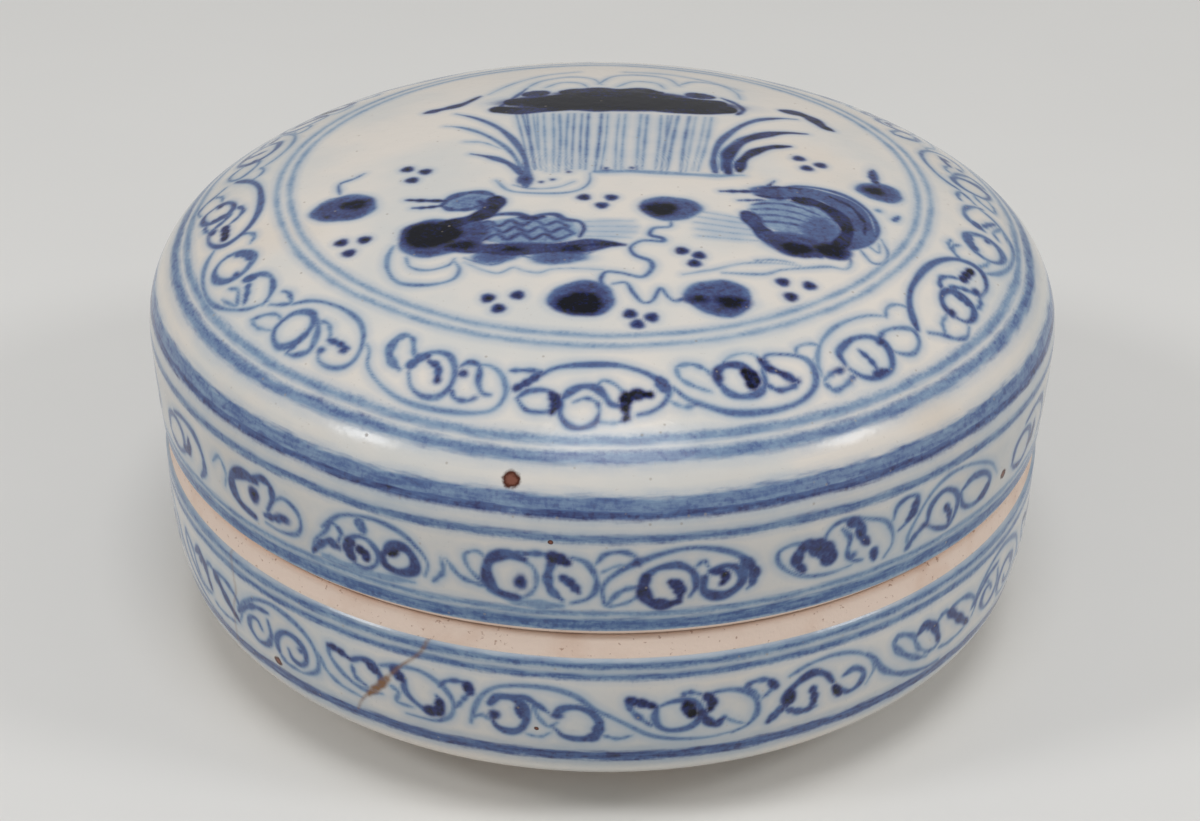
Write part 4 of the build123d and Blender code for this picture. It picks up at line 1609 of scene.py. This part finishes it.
    def _stains(
        self, sheet: NodeSheet, colour: Socket, spots: tuple[Spot, ...], fine: Socket
    ) -> Socket:
        """Stained cracks and specks of iron over the painting.

        Args:
            sheet: the finish's sheet.
            colour: colour so far.
            spots: the specks.
            fine: fine noise.

        Returns:
            The colour.
        """
        stain = sheet.attribute("brush_stain") * (0.6 + fine * 0.8)
        colour = sheet.blend(stain, colour, self.stain)
        for spot in spots:
            there = tuple(n * MM for n in spot.place)
            away = sheet.node(
                "ShaderNodeVectorMath",
                {"operation": "DISTANCE"},
                {0: sheet.place, 1: there},
                "Value",
            )
            away = away / (spot.size / 2 * MM) + (fine - 0.5) * 0.7
            colour = sheet.blend(1 - sheet.ease(away, 0.75, 1.25), colour, self.iron)
            colour = sheet.blend(1 - sheet.ease(away, 0.35, 0.75), colour, self.rust)
        return colour


@dataclass(frozen=True)
class Biscuit:
    """Bare fired clay, pinkish, with iron specks."""

    clay: Colour = from_screen(233, 212, 197)
    burnt: Colour = from_screen(218, 188, 168)
    speck: Colour = from_screen(150, 104, 78)
    rough: float = 0.8
    cloud_grain: float = 5.0
    speck_grain: float = 0.55
    relief_grain: float = 0.5
    relief_depth: float = 0.06

    def make(self, name: str) -> bpy.types.Material:
        """Mix the finish.

        Args:
            name: name of the material.

        Returns:
            The material.
        """
        sheet = NodeSheet(name)
        cloud = sheet.ease(sheet.noise(self.cloud_grain, 4), 0.46, 0.82) * 0.7
        colour = sheet.blend(cloud, self.clay, self.burnt)
        grit = sheet.ease(sheet.noise(self.speck_grain, 3), 0.64, 0.72)
        colour = sheet.blend(grit * 0.6, colour, self.speck)
        relief = sheet.bump(sheet.noise(self.relief_grain, 4), self.relief_depth)
        return sheet.finish({"Base Color": colour, "Roughness": self.rough, "Normal": relief})


@dataclass(frozen=True)
class RedPaste:
    """Oily red seal paste."""

    red: Colour = from_screen(186, 38, 26)
    dark: Colour = from_screen(150, 22, 18)
    rough: float = 0.42
    cloud_grain: float = 5.0
    relief_grain: float = 1.6
    relief_depth: float = 0.5

    def make(self, name: str) -> bpy.types.Material:
        """Mix the finish.

        Args:
            name: name of the material.

        Returns:
            The material.
        """
        sheet = NodeSheet(name)
        cloud = sheet.noise(self.cloud_grain, 4)
        colour = sheet.blend(sheet.ease(cloud, 0.3, 0.8), self.red, self.dark)
        relief = sheet.bump(sheet.noise(self.relief_grain, 4), self.relief_depth)
        return sheet.finish({"Base Color": colour, "Roughness": self.rough, "Normal": relief})


@dataclass
class Lid:
    """Domed lid: painted top and sides, bare rim and plain glazed inside."""

    crown_height: float = 53.1
    field_radius: float = 34.2
    field_height: float = 50.25
    picture_edge: float = 34.8
    ring_radius: float = 46.8
    ring_height: float = 44.2
    widest_radius: float = 50.0
    widest_height: float = 37.2
    rim_radius: float = 49.5
    rim_chamfer: float = 1.2
    seat_height: float = 25.2
    bore_radius: float = 46.1
    bore_chamfer: float = 0.4
    bore_top: float = 26.7
    inner_widest_radius: float = 46.6
    inner_ring: Point = (44.7, 41.5)
    inner_field: Point = (33.5, 46.9)
    inner_crown_height: float = 49.5
    shoulder_bulge: float = 0.6
    inner_bulges: tuple[float, float, float] = (-0.12, -0.6, -0.5)
    step: float = 0.25
    rim_step: float = 0.6
    inside_step: float = 1.2
    disc_steps: int = 472
    shoulder_steps: int = 1104
    side_steps: int = 1240
    rim_steps: int = 360
    inside_steps: int = 240
    top_band: Sheet = Sheet(math.radians(41), 1.1, True)
    top_copies: tuple[Copy, ...] = (Copy(0), Copy(146.5, -76, 31), Copy(-146.5, -36, 71))
    side_band: Sheet = Sheet(math.radians(50), 1, True)
    side_copies: tuple[Copy, ...] = (Copy(0), Copy(125, -68, 53.5), Copy(-125, -50, 53.5))
    wheel: Wheel = field(default_factory=Wheel)

    def outside(self) -> Outline:
        """Crown down to the rim's chamfer.

        Returns:
            The outline.
        """
        rise = self.crown_height - self.field_height
        return Outline(
            (
                (0.0, self.crown_height),
                (self.field_radius, self.field_height),
                (self.ring_radius, self.ring_height),
                (self.widest_radius, self.widest_height),
                (self.rim_radius, self.seat_height + self.rim_chamfer),
            ),
            (
                level_bulge(self.field_radius, rise),
                self.shoulder_bulge,
                level_bulge(
                    self.widest_height - self.ring_height, self.ring_radius - self.widest_radius
                ),
                level_bulge(
                    self.widest_height - self.seat_height - self.rim_chamfer,
                    self.widest_radius - self.rim_radius,
                ),
            ),
        )

    def inside(self) -> Outline:
        """Bore up to the middle of the crown's inner face.

        Returns:
            The outline.
        """
        drop = self.inner_crown_height - self.inner_field[1]
        return Outline(
            (
                (self.bore_radius, self.seat_height + self.bore_chamfer),
                (self.bore_radius, self.bore_top),
                (self.inner_widest_radius, self.widest_height),
                self.inner_ring,
                self.inner_field,
                (0.0, self.inner_crown_height),
            ),
            (0.0, *self.inner_bulges, -level_bulge(self.inner_field[0], drop)),
        )

    def build(
        self,
        painted: bpy.types.Material,
        plain: bpy.types.Material,
        bare: bpy.types.Material,
    ) -> list[bpy.types.Object]:
        """Turn, dress and hang the lid's pieces.

        Args:
            painted: finish of the painted outside.
            plain: finish of the plain glaze inside.
            bare: finish of the bare rim.

        Returns:
            The pieces.
        """
        walk = self.outside().walk(self.step)
        picture_end = int(np.searchsorted(walk[:, 0], self.picture_edge))
        middle = picture_end // 2
        ring = int(np.argmin(np.abs(walk[:, 1] - self.ring_height)))
        disc = self.wheel.turn("disc", walk[: middle + 1], self.disc_steps, Spread.LEFT_TO_EXPORT)
        border = self.wheel.turn(
            "border", walk[middle : picture_end + 1], self.disc_steps * 2, Spread.LEFT_TO_EXPORT
        )
        picture = self.wheel.join("lid_picture", disc, border, walk[middle][0])
        self.wheel.lay_flat(picture, Spread.FROM_ABOVE)
        shoulder = self.wheel.turn(
            "lid_shoulder", walk[picture_end : ring + 1], self.shoulder_steps, Spread.FROM_ABOVE
        )
        side = self.wheel.turn("lid_side", walk[ring:], self.side_steps, Spread.STRIPS)
        painter = Painter()
        painter.paint(picture, read_places(picture)[:, :2], Sheet(), PICTURE)
        painter.paint(
            shoulder,
            round_the_box(shoulder, Along.RADIUS),
            self.top_band,
            TOP_VINE,
            self.top_copies,
        )
        painter.paint(
            side,
            round_the_box(side, Along.HEIGHT),
            self.side_band,
            LID_VINE,
            self.side_copies,
        )
        rim_walk = Outline(
            (
                (self.rim_radius, self.seat_height + self.rim_chamfer),
                (self.rim_radius - self.rim_chamfer, self.seat_height),
                (self.bore_radius + self.bore_chamfer, self.seat_height),
                (self.bore_radius, self.seat_height + self.bore_chamfer),
            ),
            (0.0, 0.0, 0.0),
        ).walk(self.rim_step)
        rim = self.wheel.turn("lid_rim", rim_walk, self.rim_steps, Spread.LEFT_TO_EXPORT)
        inside_walk = self.inside().walk(self.inside_step)
        inside = self.wheel.turn(
            "lid_inside", inside_walk, self.inside_steps, Spread.LEFT_TO_EXPORT
        )
        for piece, finish in (
            (picture, painted),
            (shoulder, painted),
            (side, painted),
            (rim, bare),
            (inside, plain),
        ):
            piece.data.materials.append(finish)
            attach(piece, "lid")
            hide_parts("lid")
        return [picture, shoulder, side, rim, inside]


@dataclass
class Base:
    """Bowl of the box: painted side, bare gallery and foot, glazed inside."""

    radius: float = 49.5
    bare_radius: float = 49.2
    bare_base: float = 22.9
    glaze_edge: float = 22.6
    wall_base: float = 18.2
    belly: Point = (48.5, 9.6)
    turned_in: Point = (44.6, 5.3)
    turn_bulge: float = 0.7
    underside_bulge: float = 0.2
    underside_top: float = 6.2
    foot_top_radius: float = 38.0
    foot_height: float = 2.6
    foot_radius: float = 37.5
    foot_bore_radius: float = 34.1
    foot_chamfer: float = 0.6
    foot_lean: float = 0.5
    seat_height: float = 25.2
    seat_radius: float = 49.0
    seat_chamfer: float = 0.3
    lip_radius: float = 45.4
    lip_crest_radius: float = 45.0
    lip_bore_radius: float = 42.8
    lip_top: float = 30.2
    lip_chamfer: float = 0.6
    lip_root_fill: float = 0.3
    inner_glaze_edge: float = 27.4
    floor_radius: float = 36.0
    floor_height: float = 6.8
    floor_corner: Point = (43.0, 9.2)
    inner_turn: Point = (44.4, 10.7)
    inner_wall: Point = (45.3, 18.2)
    inner_bulges: tuple[float, float, float] = (-0.15, -0.2, -0.35)
    step: float = 0.25
    foot_step: float = 0.8
    gallery_step: float = 0.35
    bowl_step: float = 0.9
    side_steps: int = 1224
    underside_steps: int = 360
    foot_steps: int = 304
    gallery_steps: int = 480
    bowl_steps: int = 304
    band: Sheet = Sheet(math.radians(49.5), 1, True)
    copies: tuple[Copy, ...] = (
        Copy(0),
        Copy(103, -51, 53),
        Copy(206, -51, 1),
        Copy(-103, -51, 53),
    )
    wheel: Wheel = field(default_factory=Wheel)

    def outside(self) -> Outline:
        """Edge of the bare band down to the foot.

        Returns:
            The outline.
        """
        return Outline(
            (
                (self.bare_radius, self.bare_base),
                (self.radius, self.glaze_edge),
                (self.radius, self.wall_base),
                self.belly,
                self.turned_in,
                (self.foot_top_radius, self.foot_height),
            ),
            (
                0.0,
                0.0,
                level_bulge(self.wall_base - self.belly[1], self.radius - self.belly[0]),
                self.turn_bulge,
                self.underside_bulge,
            ),
        )

    def foot(self) -> Outline:
        """Foot ring and the flat underside within it.

        Returns:
            The outline.
        """
        joints = (
            (self.foot_top_radius, self.foot_height),
            (self.foot_radius, self.foot_chamfer),
            (self.foot_radius - self.foot_chamfer, 0.0),
            (self.foot_bore_radius + self.foot_chamfer, 0.0),
            (self.foot_bore_radius, self.foot_chamfer),
            (self.foot_bore_radius - self.foot_lean, self.foot_height),
            (0.0, self.foot_height),
        )
        return Outline(joints, (0.0,) * (len(joints) - 1))

    def gallery(self) -> Outline:
        """Upright lip, the seat and the bare band.

        Returns:
            The outline.
        """
        lip_edge = self.lip_top - self.lip_chamfer
        joints = (
            (self.lip_bore_radius, self.inner_glaze_edge),
            (self.lip_bore_radius, lip_edge),
            (self.lip_bore_radius + self.lip_chamfer, self.lip_top),
            (self.lip_crest_radius - self.lip_chamfer, self.lip_top),
            (self.lip_crest_radius, lip_edge),
            (self.lip_radius, self.seat_height + self.lip_root_fill),
            (self.lip_radius + self.lip_root_fill, self.seat_height),
            (self.seat_radius - self.seat_chamfer, self.seat_height),
            (self.seat_radius, self.seat_height - self.seat_chamfer),
            (self.bare_radius, self.bare_base),
        )
        return Outline(joints, (0.0,) * (len(joints) - 1))

    def bowl(self) -> Outline:
        """Middle of the floor up to the edge of the glaze inside the lip.

        Returns:
            The outline.
        """
        corner_width = self.floor_corner[0] - self.floor_radius
        corner_rise = self.floor_corner[1] - self.floor_height
        return Outline(
            (
                (0.0, self.floor_height),
                (self.floor_radius, self.floor_height),
                self.floor_corner,
                self.inner_turn,
                self.inner_wall,
                (self.lip_bore_radius, self.seat_height),
                (self.lip_bore_radius, self.inner_glaze_edge),
            ),
            (0.0, -level_bulge(corner_width, corner_rise), *self.inner_bulges, 0.0),
        )

    def build(
        self,
        painted: bpy.types.Material,
        plain: bpy.types.Material,
        bare: bpy.types.Material,
    ) -> list[bpy.types.Object]:
        """Turn, dress and hang the base's pieces.

        Args:
            painted: finish of the painted side.
            plain: finish of the plain glaze inside.
            bare: finish of the bare clay.

        Returns:
            The pieces.
        """
        side_walk = self.outside().walk(self.step)
        turn = int(np.argmin(np.abs(side_walk[:, 1] - self.underside_top)))
        side = self.wheel.turn("base_side", side_walk[: turn + 1], self.side_steps, Spread.STRIPS)
        under = self.wheel.turn(
            "base_underside", side_walk[turn:], self.underside_steps, Spread.FROM_ABOVE
        )
        painter = Painter()
        places = round_the_box(side, Along.HEIGHT)
        painter.paint(side, places, self.band, BASE_VINE, self.copies, CRACKS)
        painter.paint(under, round_the_box(under, Along.HEIGHT), self.band, ())
        foot_walk = self.foot().walk(self.foot_step)
        foot = self.wheel.turn("base_foot", foot_walk, self.foot_steps, Spread.LEFT_TO_EXPORT)
        gallery_walk = self.gallery().walk(self.gallery_step)
        gallery = self.wheel.turn(
            "base_gallery", gallery_walk, self.gallery_steps, Spread.LEFT_TO_EXPORT
        )
        bowl_walk = self.bowl().walk(self.bowl_step)
        bowl = self.wheel.turn("base_bowl", bowl_walk, self.bowl_steps, Spread.LEFT_TO_EXPORT)
        for piece, finish in (
            (side, painted),
            (under, painted),
            (foot, bare),
            (gallery, bare),
            (bowl, plain),
        ):
            piece.data.materials.append(finish)
            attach(piece, "base")
            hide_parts("base")
        return [side, under, foot, gallery, bowl]


@dataclass
class SealPaste:
    """Pressed mound of paste on the floor of the bowl."""

    edge_radius: float = 34.4
    brow_radius: float = 30.8
    brow_height: float = 11.0
    crown_height: float = 15.6
    floor_height: float = 6.8
    edge_bulge: float = 1.0
    fold_depth: float = 1.7
    fold_arms: int = 3
    fold_twist: float = 0.42
    lump_depth: float = 0.2
    free_height: float = 3.0
    free_radius: float = 9.0
    step: float = 0.6
    steps: int = 304
    wheel: Wheel = field(default_factory=Wheel)

    def build(self, paste: bpy.types.Material) -> bpy.types.Object:
        """Turn, knead and hang the mound.

        Args:
            paste: its finish.

        Returns:
            The mound.
        """
        crown_bulge = level_bulge(self.brow_radius, self.crown_height - self.brow_height)
        walk = Outline(
            (
                (0.0, self.crown_height),
                (self.brow_radius, self.brow_height),
                (self.edge_radius, self.floor_height),
                (0.0, self.floor_height),
            ),
            (crown_bulge, self.edge_bulge, 0.0),
        ).walk(self.step)
        mound = self.wheel.turn("seal_paste_mound", walk, self.steps, Spread.LEFT_TO_EXPORT)
        self._knead(mound)
        mound.data.materials.append(paste)
        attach(mound, "base")
        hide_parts("seal_paste")
        return mound

    def _knead(self, mound: bpy.types.Object) -> None:
        """Press folds and lumps into the mound, never above its turned shape.

        They fade out towards the floor and towards the middle.

        Args:
            mound: the turned mound.
        """
        places = read_places(mound)
        x, y, height = places.T
        radius = np.hypot(x, y)
        swirl = np.arctan2(y, x) * self.fold_arms + radius * self.fold_twist
        folds = 0.5 + 0.5 * np.sin(swirl + 0.9 * np.sin(x * 0.21 + 1.3) + 0.7 * np.cos(y * 0.17))
        lumps = np.sin(x * 0.61 + 0.4) * np.cos(y * 0.53 - 0.8) + np.sin((x + y) * 0.37)
        depth = self.fold_depth * folds**2 + self.lump_depth * (lumps + 2)
        off_floor = np.clip((height - self.floor_height) / self.free_height, 0, 1)
        off_middle = np.clip(radius / self.free_radius, 0, 1)
        places[:, 2] -= depth * off_floor * off_middle
        mound.data.vertices.foreach_set("co", (places * MM).astype(np.float32).ravel())
        mound.data.update()


@dataclass(frozen=True)
class Lamp:
    """A round soft lamp, with its place and size in metres and its power in watts."""

    name: str
    place: tuple[float, float, float]
    size: float
    power: float


@dataclass(frozen=True)
class Studio:
    """Pale floor, soft lamps and the camera where the photograph was taken from.

    The camera's target, distance and lens are in millimetres, and its angles in degrees.
    """

    target: tuple[float, float, float] = (-0.12, 0.0, 21.6)
    distance: float = 265.815
    elevation: float = 30.75
    roll: float = 0.72
    lens: float = 69.0
    sensor: float = 36.0
    floor_colour: Colour = from_screen(226, 225, 222)
    floor_fleck: Colour = from_screen(230, 229, 226)
    floor_grain: float = 40.0
    floor_rough: float = 0.85
    floor_size: float = 6.0
    floor_cuts: int = 8
    sky: float = 0.38
    lamp_target: tuple[float, float, float] = (0.0, 0.0, 0.03)
    lamps: tuple[Lamp, ...] = (
        Lamp("lamp_left", (-0.68, -0.3, 0.66), 0.2, 1.7),
        Lamp("lamp_right", (0.72, -0.26, 0.66), 0.2, 1.5),
        Lamp("lamp_top", (0.04, -0.28, 0.9), 0.4, 2.7),
    )

    def build(self) -> None:
        """Set up the floor, the lamps, the world and the camera."""
        self._lay_floor()
        self._hang_lamps()
        self._stand_camera()

    def _lay_floor(self) -> None:
        """Lay a plain pale floor with a soft grain."""
        bpy.ops.object.select_all(action="DESELECT")
        bpy.ops.mesh.primitive_grid_add(
            x_subdivisions=self.floor_cuts, y_subdivisions=self.floor_cuts, size=self.floor_size
        )
        floor = bpy.context.object
        floor.name = "floor"
        sheet = NodeSheet("floor_paper")
        grain = sheet.noise(self.floor_grain, 3)
        colour = sheet.blend(grain, self.floor_colour, self.floor_fleck)
        paper = sheet.finish({"Base Color": colour, "Roughness": self.floor_rough})
        floor.data.materials.append(paper)

    def _hang_lamps(self) -> None:
        """Hang the soft lamps and light the world."""
        bpy.ops.object.select_all(action="DESELECT")
        for lamp in self.lamps:
            bpy.ops.object.light_add(type="AREA", location=lamp.place)
            light = bpy.context.object
            light.name = lamp.name
            light.data.shape = "DISK"
            light.data.size = lamp.size
            light.data.energy = lamp.power
            aim = Vector(self.lamp_target) - light.location
            light.rotation_euler = aim.to_track_quat("-Z", "Y").to_euler()
        world = bpy.data.worlds.new("soft_sky")
        bpy.context.scene.world = world
        world.use_nodes = True
        back = world.node_tree.nodes["Background"]
        back.inputs["Color"].default_value = (1.0, 1.0, 1.0, 1.0)
        back.inputs["Strength"].default_value = self.sky

    def _stand_camera(self) -> None:
        """Stand the camera where the photograph was taken from."""
        tilt = math.radians(self.elevation)
        lean = math.radians(self.roll)
        back = Vector((0, -math.cos(tilt), math.sin(tilt)))
        right = Vector((1, 0, 0))
        up = back.cross(right)
        across = right * math.cos(lean) + up * math.sin(lean)
        above = up * math.cos(lean) - right * math.sin(lean)
        turn = Matrix((across, above, back)).transposed().to_4x4()
        bpy.ops.object.camera_add()
        camera = bpy.context.object
        place = Vector(self.target) * MM + back * self.distance * MM
        camera.matrix_world = Matrix.Translation(place) @ turn
        camera.data.lens = self.lens
        camera.data.sensor_width = self.sensor
        bpy.context.scene.camera = camera
        bpy.context.scene.view_settings.view_transform = "Standard"


def main() -> None:
    """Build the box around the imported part, piece by piece."""
    logging.basicConfig(level=logging.INFO, format="%(message)s")
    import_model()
    glaze = Glaze()
    lid_glaze = glaze.make("lid_glaze", LID_RINGS, LID_HAZES_AND_SHADE, LID_SPOTS)
    base_glaze = glaze.make("base_glaze", BASE_RINGS, BASE_HAZES, BASE_SPOTS)
    plain_glaze = glaze.make("plain_glaze")
    biscuit = Biscuit().make("bare_clay")
    paste = RedPaste().make("red_paste")
    made = Lid().build(lid_glaze, plain_glaze, biscuit)
    made += Base().build(base_glaze, plain_glaze, biscuit)
    made.append(SealPaste().build(paste))
    for piece in made:
        mesh = piece.data
        mesh.calc_loop_triangles()
        log.info("%s: %d triangles", piece.name, len(mesh.loop_triangles))
    Studio().build()


if __name__ == "__main__":
    main()
